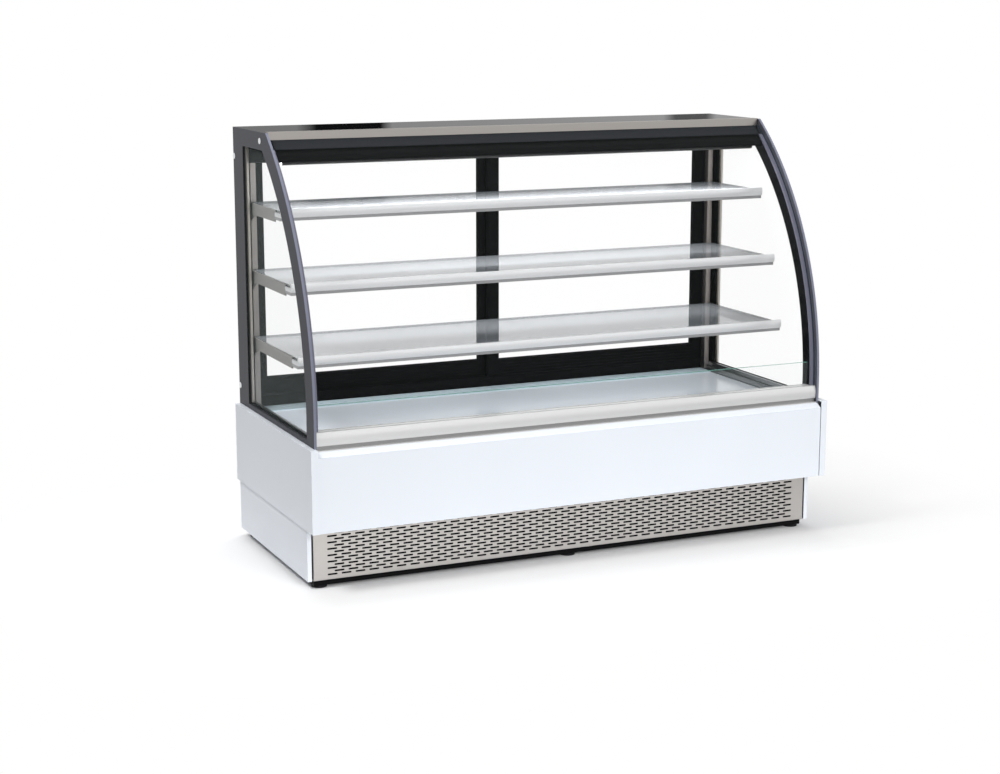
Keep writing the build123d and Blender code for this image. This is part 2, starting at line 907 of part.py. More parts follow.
def glass_fixing_caps():
    """Chrome caps over the fixings of both outer panes."""
    places = [
        (curve_y(0.0, glass_top_z) + cap_front_inset, glass_top_z - cap_top_drop),
        (rear_y - cap_rear_inset, glass_top_z - cap_rear_drop),
        (rear_y - cap_low_inset, glass_seat_z + cap_low_rise),
    ]
    caps = []
    for y, z in places:
        cap = rod_along_x(cap_diameter, glass_x, glass_x + cap_height, y, z)
        cap = fillet(cap.edges().sort_by(Axis.X)[-1], cap_height * 0.6)
        caps += [cap, opposite(cap)]
    return Compound(children=caps)


def front_glass():
    """Bent front pane, standing in the bumper and held at its top by the clamp."""
    outline = curved_strip(
        front_glass_inset, front_glass_back, front_glass_foot_z, front_glass_top_z
    )
    return bar_along_x(outline, -tank_x, tank_x)


def top_clamp_profile():
    """Dark profile behind the top edge of the front glass."""
    inset = front_glass_back
    deep = inset + strip_thickness
    high_z = front_glass_top_z
    outline = Line((curve_y(inset, clamp_bottom_z), clamp_bottom_z), (curve_y(deep, clamp_bottom_z), clamp_bottom_z))
    outline += curve_arc(deep, clamp_bottom_z, high_z)
    outline += Line((curve_y(deep, high_z), high_z), (curve_y(inset, high_z), high_z))
    outline += curve_arc(inset, clamp_bottom_z, high_z)
    return bar_along_x(outline, -between_glass_x, between_glass_x)


def top_front_strip():
    """Brushed aluminium angle over the front edge of the top glass."""
    low_z = front_glass_top_z
    face_y = top_strip_face_y
    thin = top_strip_thickness
    foot_y = top_strip_foot_y
    outline = Polyline(
        (face_y, low_z),
        (face_y, top_strip_top_z),
        (face_y + top_strip_lip, top_strip_top_z),
        (face_y + top_strip_lip, glass_top_z),
        (face_y + thin, glass_top_z),
        (face_y + thin, low_z + thin),
        (foot_y, low_z + thin),
        (foot_y, low_z),
        close=True,
    )
    half = glass_inner_x - top_strip_end_gap
    return bar_along_x(outline, -half, half)


def top_glass():
    """Flat roof pane between the outer side panes."""
    low_y = top_strip_face_y + top_strip_thickness
    return block(-tank_x, tank_x, low_y, rear_y, top_glass_bottom_z, glass_top_z)


def header_outline(wall):
    """Outline of the light header, or of its hollow inside for a wall thickness."""
    behind_clamp = front_glass_back + strip_thickness + gap + wall
    low_z = clamp_bottom_z - gap
    front = header_front_y + wall
    high_z = front_glass_top_z
    return Polyline(
        (front, header_front_z + wall),
        (front, header_front_z + header_lip_height),
        (curve_y(behind_clamp, header_shoulder_z), header_shoulder_z),
        (curve_y(behind_clamp, low_z), low_z),
        (curve_y(behind_clamp, high_z), high_z - wall),
        (header_rear_y - wall, high_z - wall),
        (header_rear_y - wall, header_rear_z + wall),
        close=True,
    )


def light_header():
    """Hollow black header that carries the lamp and closes the top of the display."""
    outer = bar_along_x(header_outline(0.0), -between_glass_x, between_glass_x)
    inner = bar_along_x(header_outline(header_wall), -between_glass_x, between_glass_x)
    post_top = top_glass_bottom_z
    high_z = front_glass_top_z
    low_y = header_rear_y - header_bearer_width
    bearer = block(-between_glass_x, between_glass_x, low_y, header_rear_y, high_z, post_top)
    front_bearer_y = top_strip_foot_y + 2 * gap
    front_bearer = block(
        -between_glass_x,
        between_glass_x,
        front_bearer_y,
        front_bearer_y + header_wall,
        high_z,
        post_top,
    )
    return outer - inner + bearer + front_bearer


def led_lamps():
    """Lamp bar with a rounded diffuser on the underside of the header."""
    low_y = header_front_y + lamp_setback
    high_y = low_y + lamp_width
    low_top = header_underside_z(low_y)
    high_top = header_underside_z(high_y)
    outline = Polyline(
        (low_y, low_top - lamp_height / 2),
        (low_y, low_top),
        (high_y, high_top),
        (high_y, high_top - lamp_height / 2),
    )
    outline += ThreePointArc(
        (high_y, high_top - lamp_height / 2),
        ((low_y + high_y) / 2, (low_top + high_top) / 2 - lamp_height),
        (low_y, low_top - lamp_height / 2),
    )
    return bar_along_x(outline, -lamp_half_length, lamp_half_length)


def shelf_rail(front, top):
    """Hollow rounded rail along the front of one shelf."""
    seat = top - shelf_glass_drop - shelf_glass_thickness
    low = top - rail_height
    face_low = top - rail_face_height
    back = front + rail_depth
    face_start = front + rail_nose_width / 4
    face_end = front + rail_nose_width / 3
    outline = ThreePointArc((face_end, face_low), (front, (face_low + top) / 2), (face_start, top))
    outline += Polyline(
        (face_start, top),
        (front + rail_nose_width, top),
        (front + rail_nose_width, seat),
        (back, seat),
        (back, low),
        (front + rail_undercut, low),
        (front + rail_undercut, face_low),
        (face_end, face_low),
    )
    rail = bar_along_x(outline, -rail_half_length, rail_half_length)
    chamber = block(
        -rail_half_length,
        rail_half_length,
        front + rail_nose_width,
        back - rail_wall,
        low + rail_wall,
        seat - rail_wall,
    )
    return rail - chamber


def shelf_glass(front, top):
    """Shelf pane lying in the rail and on the ledges of its brackets."""
    glass_top = top - shelf_glass_drop
    low_y = front + rail_nose_width + gap
    half = shelf_half_length
    return block(-half, half, low_y, shelf_rear_y, glass_top - shelf_glass_thickness, glass_top)


def hook_places(top):
    """Heights of the two hooks of a bracket whose shelf rail has this top."""
    first = top - shelf_glass_drop - hook_first_drop - hook_height / 2
    return [first, first - upright_slot_pitch]


def shelf_brackets():
    """Plate brackets with a glass ledge, a curved underside and hooks for the uprights."""
    brackets = []
    hook_y = upright_front_y + upright_depth / 2
    for front, top in shelf_places.values():
        seat = top - shelf_glass_drop - shelf_glass_thickness
        high = top - shelf_glass_drop - bracket_top_drop
        start = front + rail_depth
        shallow = high - bracket_front_depth
        deep = high - bracket_hook_depth
        outline = Polyline(
            (bracket_curve_y, shallow),
            (start, shallow),
            (start, high),
            (bracket_rear_y, high),
            (bracket_rear_y, deep),
            (bracket_hook_y, deep),
        )
        middle = (
            bracket_curve_y + (bracket_hook_y - bracket_curve_y) * 0.62,
            shallow + (deep - shallow) * 0.30,
        )
        outline += ThreePointArc((bracket_hook_y, deep), middle, (bracket_curve_y, shallow))
        plate = bar_along_x(outline, bracket_inner_x, bracket_outer_x)
        plate += block(
            bracket_inner_x - bracket_ledge,
            bracket_inner_x,
            start,
            shelf_rear_y,
            seat - bracket_ledge_thickness,
            seat,
        )
        for z in hook_places(top):
            plate += block(
                upright_outer_x - hook_reach,
                bracket_inner_x,
                hook_y - hook_width / 2,
                hook_y + hook_width / 2,
                z - hook_height / 2,
                z + hook_height / 2,
            )
        brackets += [plate, opposite(plate)]
    return Compound(children=brackets)


def shelf_uprights():
    """Slotted box-section uprights between the deck and the header."""
    low_x = upright_outer_x - upright_width
    high_y = upright_front_y + upright_depth
    wall = upright_wall
    post = block(low_x, upright_outer_x, upright_front_y, high_y, deck_z, header_front_z)
    post -= block(
        low_x + wall,
        upright_outer_x - wall,
        upright_front_y + wall,
        high_y - wall,
        deck_z,
        header_front_z,
    )
    post -= bar_along_x(header_outline(0.0), low_x, upright_outer_x)
    post = post.solids().sort_by(SortBy.VOLUME)[-1]
    slot_y = upright_front_y + upright_depth / 2
    half_width_y = hook_width / 2 + hook_clearance
    half_height = hook_height / 2 + hook_clearance
    slots = []
    for front, top in shelf_places.values():
        for step in (-2, -1, 0, 1):
            z = hook_places(top)[0] + step * upright_slot_pitch
            slots.append(
                block(
                    upright_outer_x - wall,
                    upright_outer_x,
                    slot_y - half_width_y,
                    slot_y + half_width_y,
                    z - half_height,
                    z + half_height,
                )
            )
    post = post - slots
    return Compound(children=[post, opposite(post)])


def door_surround():
    """Frame round the rear opening with two door tracks in its sill and head."""
    frame = block(-surround_x, surround_x, surround_front_y, rear_y, deck_z, top_glass_bottom_z)
    frame -= block(-jamb_x, jamb_x, surround_front_y, rear_y, sill_z, head_bottom_z)
    ribs = [
        (surround_front_y, front_track_y),
        (front_track_y + track_width, rear_track_y),
        (rear_track_y + track_width, rear_y),
    ]
    for low_y, high_y in ribs:
        frame += block(-jamb_x, jamb_x, low_y, high_y, sill_z, sill_z + track_rib_height)
        frame += block(
            -jamb_x, jamb_x, low_y, high_y, head_bottom_z - track_rib_height, head_bottom_z
        )
    return frame


def door_span(side):
    """Ends of the left (-1) or right (1) door when both are closed."""
    outer = side * (jamb_x - door_clearance)
    inner = -side * door_overlap / 2
    return sorted((outer, inner))


def door_low_y(side):
    """Front face of a door: the right one runs in the front track."""
    track = front_track_y if side > 0 else rear_track_y
    return track + track_offset


def door_window(side, grow, low_y, high_y):
    """Box through the window of a door, grown all round."""
    low_x, high_x = door_span(side)
    return block(
        low_x + stile_width - grow,
        high_x - stile_width + grow,
        low_y,
        high_y,
        bottom_rail_top_z - grow,
        door_top_z - top_rail_height + grow,
    )


def door_frame(side):
    """Door frame with a glazing groove, a finger pull and a reeded bottom rail."""
    low_x, high_x = door_span(side)
    low_y = door_low_y(side)
    high_y = low_y + door_thickness
    frame = block(low_x, high_x, low_y, high_y, door_bottom_z, door_top_z)
    frame -= door_window(side, 0.0, low_y, high_y)
    pane_y = low_y + (door_thickness - door_glass_thickness) / 2
    frame -= door_window(side, door_glass_bite, pane_y, pane_y + door_glass_thickness)
    pull_x = side * (jamb_x - door_clearance - pull_offset)
    recess = Plane.XZ * SlotOverall(pull_height, pull_width, rotation=90)
    frame -= extrude(Pos(pull_x, high_y - pull_depth, pull_z) * recess, pull_depth, dir=(0, 1, 0))
    for index in range(rail_groove_count):
        z = bottom_rail_top_z - (index + 1) * rail_groove_pitch
        frame -= block(
            low_x + stile_width,
            high_x - stile_width,
            low_y,
            low_y + rail_groove_depth,
            z - rail_groove_width / 2,
            z + rail_groove_width / 2,
        )
    return frame


def door_glass(side):
    """Pane seated in the door's groove."""
    pane_y = door_low_y(side) + (door_thickness - door_glass_thickness) / 2
    return door_window(side, door_glass_bite, pane_y, pane_y + door_glass_thickness)


def control_back():
    """Outer box of the controller's body behind the panel."""
    half = control_width / 2 - 2 * control_wall
    tall = control_height / 2 - control_wall
    low_y = rear_panel_y - control_depth
    return (control_x - half, control_x + half, low_y, rear_panel_y, control_z - tall, control_z + tall)


def rear_lower_panel():
    """Rear cover below the doors, with openings for the controls and the cable gland."""
    panel = block(-tank_x, tank_x, tank_rear_y, rear_panel_y, skirt_bottom_z, deck_z)
    panel -= block(
        -tank_x + sheet,
        tank_x - sheet,
        tank_rear_y,
        rear_panel_y - sheet,
        skirt_bottom_z,
        deck_z - sheet,
    )
    panel += block(
        -chassis_x, chassis_x, chassis_rear_y, rear_panel_y, skirt_bottom_z, skirt_bottom_z + sheet
    )
    low_x, high_x, low_y, high_y, low_z, high_z = control_back()
    panel -= block(low_x - gap, high_x + gap, low_y, high_y, low_z - gap, high_z + gap)
    body = gland_body_diameter + 2 * gap
    panel -= rod_along_y(body, gland_x, tank_rear_y, rear_panel_y, gland_z)
    return panel


def controller_panel():
    """Controller bezel with its display recess, button holes and rocker openings."""
    face_y = rear_panel_y + control_thickness
    plate = Plane.XZ * RectangleRounded(control_width, control_height, control_corner_radius)
    bezel = extrude(
        Pos(control_x, rear_panel_y, control_z) * plate, control_thickness, dir=(0, 1, 0)
    )
    low_x, high_x, low_y, high_y, low_z, high_z = control_back()
    back = block(low_x, high_x, low_y, high_y, low_z, high_z)
    wall = control_wall
    back -= block(low_x + wall, high_x - wall, low_y + wall, high_y, low_z + wall, high_z - wall)
    bezel += back
    x = control_x + display_offset
    bezel -= block(
        x - display_width / 2,
        x + display_width / 2,
        face_y - display_depth,
        face_y,
        control_z - display_height / 2,
        control_z + display_height / 2,
    )
    for offset in button_offsets.values():
        hole = button_diameter + 2 * button_clearance
        bezel -= rod_along_y(hole, control_x + offset, rear_panel_y, face_y, control_z)
    for offset in rocker_offsets.values():
        x = control_x + offset
        half = rocker_width / 2 + rocker_clearance
        tall = rocker_height / 2 + rocker_clearance
        bezel -= block(x - half, x + half, rear_panel_y, face_y, control_z - tall, control_z + tall)
        pin = rocker_pin_diameter + 2 * rocker_pin_clearance
        reach = rocker_width / 2 + rocker_pin_length + rocker_clearance
        bezel -= rod_along_x(pin, x - reach, x + reach, rocker_pivot_y, control_z)
    return bezel


def rocker(offset):
    """Rocker switch resting on one side, with its two pivot pins."""
    x = control_x + offset
    tall = rocker_height / 2
    rise = control_thickness / 3
    outline = ThreePointArc((rise, -tall), (rise / 3, 0.0), (rise, tall))
    outline += Polyline(
        (rise, tall),
        (rise - rocker_depth / 2, tall),
        (rise - rocker_depth, tall / 2),
        (rise - rocker_depth, -tall / 2),
        (rise - rocker_depth / 2, -tall),
        (rise, -tall),
    )
    body = bar_along_x(outline, -rocker_width / 2, rocker_width / 2)
    reach = rocker_width / 2 + rocker_pin_length
    body += rod_along_x(rocker_pin_diameter, -reach, reach, 0.0, 0.0)
    return Pos(x, rocker_pivot_y, control_z) * Rot(-rocker_swing / 2, 0, 0) * body


def button(offset):
    """Round push button with a flange that keeps it in the bezel."""
    x = control_x + offset
    face_y = rear_panel_y + control_thickness + button_proud
    body = rod_along_y(button_diameter, x, face_y - button_length, face_y, control_z)
    body = fillet(body.edges().sort_by(Axis.Y)[-1], button_proud / 2)
    high_y = rear_panel_y - button_clearance
    flange = button_diameter + 2 * button_flange
    return body + rod_along_y(flange, x, high_y - button_flange_height, high_y, control_z)


def cable_gland():
    """Gland for the supply cable, clamped through the rear panel."""
    body_diameter = gland_body_diameter
    inner_y = rear_panel_y - sheet - gland_length / 2
    outer_y = rear_panel_y + gland_length * 0.42
    body = rod_along_y(body_diameter, gland_x, inner_y, outer_y, gland_z)
    collar = rod_along_y(gland_diameter, gland_x, rear_panel_y, outer_y, gland_z)
    collar = chamfer(collar.edges().sort_by(Axis.Y)[-1], gland_length * 0.2)
    nut_face = Plane.XZ * RegularPolygon(gland_diameter / 2, 6, major_radius=False)
    nut = extrude(
        Pos(gland_x, rear_panel_y - sheet, gland_z) * nut_face, gland_length / 4, dir=(0, -1, 0)
    )
    return body + collar + nut - rod_along_y(gland_bore, gland_x, inner_y, outer_y, gland_z)


def machine_tray():
    """Folded tray that carries the compressor and the condenser."""
    high_z = chassis_top_z + tray_rim_height
    tray = block(
        -tray_half_length, tray_half_length, tray_front_y, tray_rear_y, chassis_top_z, high_z
    )
    return tray - block(
        -tray_half_length + sheet,
        tray_half_length - sheet,
        tray_front_y + sheet,
        tray_rear_y - sheet,
        tray_z,
        high_z,
    )


def compressor():
    """Hermetic compressor: domed shell, terminal box and plate on rubber feet."""
    plate_z = tray_z + compressor_foot_height
    shell_z = plate_z + compressor_plate_thickness
    top_z = tray_z + compressor_height
    radius = compressor_radius
    shell = rod_along_z(2 * radius, 0.0, 0.0, shell_z, top_z)
    shell = fillet(shell.edges().sort_by(Axis.Z)[-1], compressor_dome_radius)
    half_x = compressor_plate_length / 2
    half_y = compressor_plate_width / 2
    body = shell + block(-half_x, half_x, -half_y, half_y, plate_z, shell_z)
    foot_x = half_x - compressor_foot_inset
    foot_y = half_y - compressor_foot_inset
    for x in (-foot_x, foot_x):
        for y in (-foot_y, foot_y):
            body += rod_along_z(compressor_foot_diameter, x, y, tray_z, plate_z)
    reach = radius + compressor_stub_length
    body += rod_along_y(pipe_diameter * 1.5, 0.0, -reach, reach, compressor_pipe_z)
    low_z = shell_z + terminal_lift
    half_terminal = terminal_width / 2
    body += block(
        -radius - terminal_reach,
        -radius / 2,
        -half_terminal,
        half_terminal,
        low_z,
        low_z + terminal_height,
    )
    return Pos(compressor_x, compressor_y, 0) * body


def finned_coil(length, depth, height, tube_depth, fin_pitch):
    """Stack of fins over a narrower tube core, with return bends at one end."""
    coil = block(
        -length / 2, length / 2, -tube_depth / 2, tube_depth / 2, fin_pitch / 4, height - fin_pitch / 4
    )
    fin_count = int(length // fin_pitch) + 1
    step = (length - fin_thickness) / (fin_count - 1)
    fins = []
    for index in range(fin_count):
        x = -length / 2 + index * step
        fins.append(block(x, x + fin_thickness, -depth / 2, depth / 2, 0.0, height))
    bend = coil_tube_diameter
    for share in (0.25, 0.5, 0.75):
        half_turn = Torus(bend, coil_tube_diameter / 2, major_angle=180)
        fins.append(Pos(length / 2, 0, height * share) * Rot(0, 0, -90) * half_turn)
    return coil + fins


def condenser_coil():
    """Condenser behind the front grille."""
    coil = finned_coil(
        condenser_length, condenser_depth, condenser_height, condenser_tube_depth, condenser_fin_pitch
    )
    return Pos(condenser_x, condenser_front_y + condenser_depth / 2, tray_z) * coil


def condenser_shroud():
    """Shroud that draws air through the condenser, with a collar round the fan."""
    half = condenser_length / 2
    high_z = tray_z + condenser_height
    low_x = condenser_x - half
    high_x = condenser_x + half
    wall = shroud_wall
    shroud = block(low_x, high_x, condenser_rear_y, shroud_rear_y, tray_z, high_z)
    shroud -= block(
        low_x + wall, high_x - wall, condenser_rear_y, shroud_rear_y - wall, tray_z + wall, high_z - wall
    )
    bore = fan_diameter + 2 * fan_tip_gap
    collar_y = shroud_rear_y + fan_hub_length / 2
    shroud += rod_along_y(bore + 2 * wall, condenser_x, shroud_rear_y - wall, collar_y, fan_z)
    return shroud - rod_along_y(bore, condenser_x, shroud_rear_y - wall, collar_y, fan_z)


def fan_blade(diameter, hub_diameter, hub_length, bore, chord, x, y, z):
    """Fan with pitched blades on a bored hub, turning about an axis along Y."""
    hub = rod_along_y(hub_diameter, 0.0, -hub_length / 2, hub_length / 2, 0.0)
    reach = diameter / 2
    blades = []
    for index in range(fan_blade_count):
        blade = Box(chord, fan_blade_thickness, reach)
        blade = Pos(0, 0, reach / 2) * Rot(0, 0, fan_blade_angle) * blade
        blades.append(Rot(0, index * 360 / fan_blade_count, 0) * blade)
    tips = rod_along_y(diameter, 0.0, -chord, chord, 0.0)
    fan = (hub + blades) & tips
    fan -= rod_along_y(bore, 0.0, -chord, chord, 0.0)
    return Pos(x, y, z) * fan


def fan_motor(diameter, length, shaft_diameter, shaft_length, foot_z, x, y, z):
    """Motor behind a fan, its shaft forwards and its pedestal on the floor below."""
    motor = rod_along_y(diameter, x, y, y + length, z)
    motor += rod_along_y(shaft_diameter, x, y - shaft_length, y, z)
    half = diameter * 0.3
    middle_y = y + length / 2
    pedestal = block(x - half, x + half, middle_y - half / 2, middle_y + half / 2, foot_z, z)
    pedestal += block(x - 2 * half, x + 2 * half, middle_y - half, middle_y + half, foot_z, foot_z + 2)
    return motor + pedestal


def condenser_fan_motor():
    """Motor of the condenser fan."""
    shaft = motor_gap + fan_hub_length * 0.8
    return fan_motor(
        motor_diameter, motor_length, motor_shaft_diameter, shaft, tray_z, condenser_x, motor_y, fan_z
    )


def condenser_fan():
    """Fan in the condenser shroud."""
    bore = motor_shaft_diameter + 2 * shaft_clearance
    return fan_blade(
        fan_diameter, fan_hub_diameter, fan_hub_length, bore, fan_blade_chord, condenser_x, fan_y, fan_z
    )


def evaporator_fan_motors():
    """Two small motors under the deck."""
    motors = []
    shaft = motor_gap + small_fan_hub_length * 0.8
    for x in (-small_fan_x, small_fan_x):
        motors.append(
            fan_motor(
                small_motor_diameter,
                small_motor_length,
                small_shaft_diameter,
                shaft,
                tank_floor_z,
                x,
                small_motor_y,
                small_fan_z,
            )
        )
    return Compound(children=motors)


def evaporator_fan(x):
    """One small fan under the deck."""
    bore = small_shaft_diameter + 2 * shaft_clearance
    return fan_blade(
        small_fan_diameter,
        small_fan_hub_diameter,
        small_fan_hub_length,
        bore,
        small_fan_chord,
        x,
        small_fan_y,
        small_fan_z,
    )


def evaporator_coil():
    """Evaporator on the floor of the tank."""
    coil = finned_coil(
        evaporator_length,
        evaporator_depth,
        evaporator_height,
        evaporator_tube_depth,
        evaporator_fin_pitch,
    )
    return Pos(0, evaporator_rear_y - evaporator_depth / 2, tank_floor_z) * coil


def condensate_pan():
    """Open pan that collects and evaporates the defrost water."""
    half_x = pan_length / 2
    half_y = pan_width / 2
    thin = 2 * sheet
    pan = block(-half_x, half_x, -half_y, half_y, 0.0, pan_height)
    pan -= block(-half_x + thin, half_x - thin, -half_y + thin, half_y - thin, thin, pan_height)
    return Pos(pan_x, pan_y, tray_z) * pan


def electrics_box():
    """Closed box of electrical parts with an overlapping lid."""
    half_x = electrics_length / 2
    half_y = electrics_width / 2
    box = block(-half_x, half_x, -half_y, half_y, 0.0, electrics_height)
    lid_z = electrics_height - post_width / 2
    rim = block(
        -half_x - sheet, half_x + sheet, -half_y - sheet, half_y + sheet, lid_z, electrics_height
    )
    return Pos(electrics_x, electrics_y, chassis_top_z) * (box + rim)


def pipe_along(points, bend_radius):
    """Copper pipe along straight runs with rounded corners."""
    path = FilletPolyline(*points, radius=bend_radius)
    return sweep((path ^ 0) * Circle(pipe_diameter / 2), path=path)


def refrigerant_pipes():
    """Discharge, liquid and suction pipes."""
    reach = compressor_radius + compressor_stub_length
    coil_y = condenser_front_y + condenser_depth / 2
    left_end = condenser_x - condenser_length / 2
    right_end = condenser_x + condenser_length / 2
    liquid_z = tray_z + condenser_height * 0.12
    liquid_x = right_end + 8 * pipe_diameter
    suction_y = compressor_y + reach + 8 * pipe_diameter
    discharge = pipe_along(
        [
            (compressor_x, compressor_y - reach, compressor_pipe_z),
            (compressor_x, coil_y, compressor_pipe_z),
            (left_end, coil_y, compressor_pipe_z),
        ],
        3.5 * pipe_diameter,
    )
    liquid = pipe_along(
        [
            (right_end, coil_y, liquid_z),
            (liquid_x, coil_y, liquid_z),
            (liquid_x, coil_y, tank_bottom_z),
        ],
        3.5 * pipe_diameter,
    )
    suction = pipe_along(
        [
            (compressor_x, compressor_y + reach, compressor_pipe_z),
            (compressor_x, suction_y, compressor_pipe_z),
            (compressor_x, suction_y, tank_bottom_z),
        ],
        3.5 * pipe_diameter,
    )
    return Compound(children=[discharge, liquid, suction])


pieces = {
    "chassis_frame": chassis_frame(),
    "levelling_feet": levelling_feet(),
    "base_side_right": base_side_right(),
    "base_side_left": opposite(base_side_right()),
    "front_grille": front_grille(),
    "rear_grille": rear_grille(),
    "machine_tray": machine_tray(),
    "compressor": compressor(),
    "condenser_coil": condenser_coil(),
    "condenser_shroud": condenser_shroud(),
    "condenser_fan_motor": condenser_fan_motor(),
    "condenser_fan_blade": condenser_fan(),
    "condensate_pan": condensate_pan(),
    "electrics_box": electrics_box(),
    "cable_gland": cable_gland(),
    "refrigerant_pipes": refrigerant_pipes(),
    "insulated_tank": insulated_tank(),
    "evaporator_coil": evaporator_coil(),
    "evaporator_fan_motors": evaporator_fan_motors(),
    "evaporator_fan_left": evaporator_fan(-small_fan_x),
    "evaporator_fan_right": evaporator_fan(small_fan_x),
    "deck_panel": deck_panel(),
    "rear_air_grille": rear_air_grille(),
    "deck_trims": deck_trims(),
    "skirt_right": skirt_right(),
    "skirt_left": opposite(skirt_right()),
    "front_fascia": front_fascia(),
    "fascia_lip": fascia_lip(),
    "front_bumper": front_bumper(),
    "front_riser_glass": front_riser_glass(),
    "side_glass_right": side_glass_right(),
    "side_glass_left": opposite(side_glass_right()),
    "side_inner_glass": side_inner_glass(),
    "corner_trims": corner_trims(),
    "glass_fixing_caps": glass_fixing_caps(),
    "front_glass": front_glass(),
    "top_clamp_profile": top_clamp_profile(),
    "top_front_strip": top_front_strip(),
    "top_glass": top_glass(),
    "light_header": light_header(),
    "led_lamps": led_lamps(),
    "shelf_brackets": shelf_brackets(),
    "shelf_uprights": shelf_uprights(),
    "door_surround": door_surround(),
    "rear_lower_panel": rear_lower_panel(),
    "door_left_frame": door_frame(-1),
    "door_left_glass": door_glass(-1),
    "door_right_frame": door_frame(1),
    "door_right_glass": door_glass(1),
    "controller_panel": controller_panel(),
}
for place, (front, top) in shelf_places.items():
    pieces["shelf_rail_" + place] = shelf_rail(front, top)
    pieces["shelf_glass_" + place] = shelf_glass(front, top)
for name, offset in button_offsets.items():
    pieces[name] = button(offset)
for name, offset in rocker_offsets.items():
    pieces[name] = rocker(offset)

for name, piece in pieces.items():
    export_step(piece, "parts/" + name + ".step")
print(len(pieces), "pieces")
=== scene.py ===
import math

import bpy
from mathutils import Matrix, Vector


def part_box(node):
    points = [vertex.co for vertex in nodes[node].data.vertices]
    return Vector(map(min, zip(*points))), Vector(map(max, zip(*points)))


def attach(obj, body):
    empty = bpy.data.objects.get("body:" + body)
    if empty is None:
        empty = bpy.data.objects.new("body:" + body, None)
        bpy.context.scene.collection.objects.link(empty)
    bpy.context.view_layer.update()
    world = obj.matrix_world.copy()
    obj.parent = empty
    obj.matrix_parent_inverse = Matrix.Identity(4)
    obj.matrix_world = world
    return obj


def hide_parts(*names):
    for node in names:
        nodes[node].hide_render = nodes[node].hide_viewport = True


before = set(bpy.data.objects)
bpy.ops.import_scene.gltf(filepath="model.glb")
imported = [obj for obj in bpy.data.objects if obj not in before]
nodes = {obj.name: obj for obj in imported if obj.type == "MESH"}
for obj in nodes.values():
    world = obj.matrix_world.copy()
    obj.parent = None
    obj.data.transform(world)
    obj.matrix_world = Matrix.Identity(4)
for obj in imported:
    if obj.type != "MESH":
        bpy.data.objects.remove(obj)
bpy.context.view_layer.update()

print("frame loaded with", len(nodes), "nodes")


# a colour written 0 to 255 as a picture shows it, turned into the linear light that shaders use
def tone(red, green, blue):
    def linear(value):
        share = value / 255
        return share / 12.92 if share <= 0.04045 else ((share + 0.055) / 1.055) ** 2.4
    return (linear(red), linear(green), linear(blue), 1.0)


# camera and lamps

view = {
    "place": (-2.6788, -5.6637, 1.7557),
    "azimuth": -24.352,
    "elevation": 11.343,
    "lens": 69.71,
    "sensorWidth": 36,
    "clipEnd": 100,
}
lamps = {
    "key": {"place": (0.6, -5.9, 1.95), "aim": (0.1, -0.2, 0.6), "size": (3.0, 2.4), "watts": 256},
    "top": {"place": (0.0, 1.5, 4.4), "aim": (0.0, -0.1, 0.4), "size": (3.0, 2.4), "watts": 92},
    "left": {"place": (-3.4, -0.7, 4.2), "aim": (-0.6, 0.0, 0.4), "size": (1.2, 1.2), "watts": 96},
    "inside": {"place": (0.0, 0.030, 1.248), "aim": (0.0, -0.02, 0.44), "size": (1.6, 0.03), "watts": 8},
    "deck": {"place": (0.0, 0.0, 0.672), "aim": (0.0, 0.0, 0.44), "size": (1.5, 0.2), "watts": 1.3},
}


def makeCamera():
    camera = bpy.data.objects.new("camera", bpy.data.cameras.new("camera"))
    bpy.context.collection.objects.link(camera)
    turn, tilt = math.radians(-view["azimuth"]), math.radians(view["elevation"])
    forward = Vector((math.sin(turn) * math.cos(tilt), math.cos(turn) * math.cos(tilt), -math.sin(tilt)))
    camera.location = view["place"]
    camera.rotation_mode = "QUATERNION"
    camera.rotation_quaternion = forward.to_track_quat("-Z", "Y")
    camera.data.sensor_width = view["sensorWidth"]
    camera.data.lens = view["lens"]
    camera.data.clip_end = view["clipEnd"]
    bpy.context.scene.camera = camera


def makeLamp(name, facts):
    lamp = bpy.data.objects.new(name, bpy.data.lights.new(name, "AREA"))
    lamp.data.shape = "RECTANGLE"
    lamp.data.size, lamp.data.size_y = facts["size"]
    lamp.data.energy = facts["watts"]
    lamp.location = facts["place"]
    aim = Vector(facts["aim"]) - Vector(facts["place"])
    lamp.rotation_mode = "QUATERNION"
    lamp.rotation_quaternion = aim.to_track_quat("-Z", "Y")
    lamp.visible_camera = lamp.visible_glossy = False
    bpy.context.collection.objects.link(lamp)


# shader maths

class Shade:
    # a socket that can be added, multiplied and so on, in the material it belongs to
    def __init__(self, paint, socket):
        self.paint, self.socket = paint, socket

    def math(self, operation, *values):
        return self.paint.node("ShaderNodeMath", {"operation": operation}, dict(enumerate(values)))

    def __add__(self, other):
        return self.math("ADD", self, other)

    def __sub__(self, other):
        return self.math("SUBTRACT", self, other)

    def __rsub__(self, other):
        return self.math("SUBTRACT", other, self)

    def __mul__(self, other):
        return self.math("MULTIPLY", self, other)

    def __truediv__(self, other):
        return self.math("DIVIDE", self, other)

    def __pow__(self, other):
        return self.math("POWER", self, other)

    def __gt__(self, other):
        return self.math("GREATER_THAN", self, other)

    def __lt__(self, other):
        return self.math("LESS_THAN", self, other)

    def __abs__(self):
        return self.math("ABSOLUTE", self)

    def larger(self, other):
        return self.math("MAXIMUM", self, other)

    def smaller(self, other):
        return self.math("MINIMUM", self, other)

    __radd__, __rmul__ = __add__, __mul__


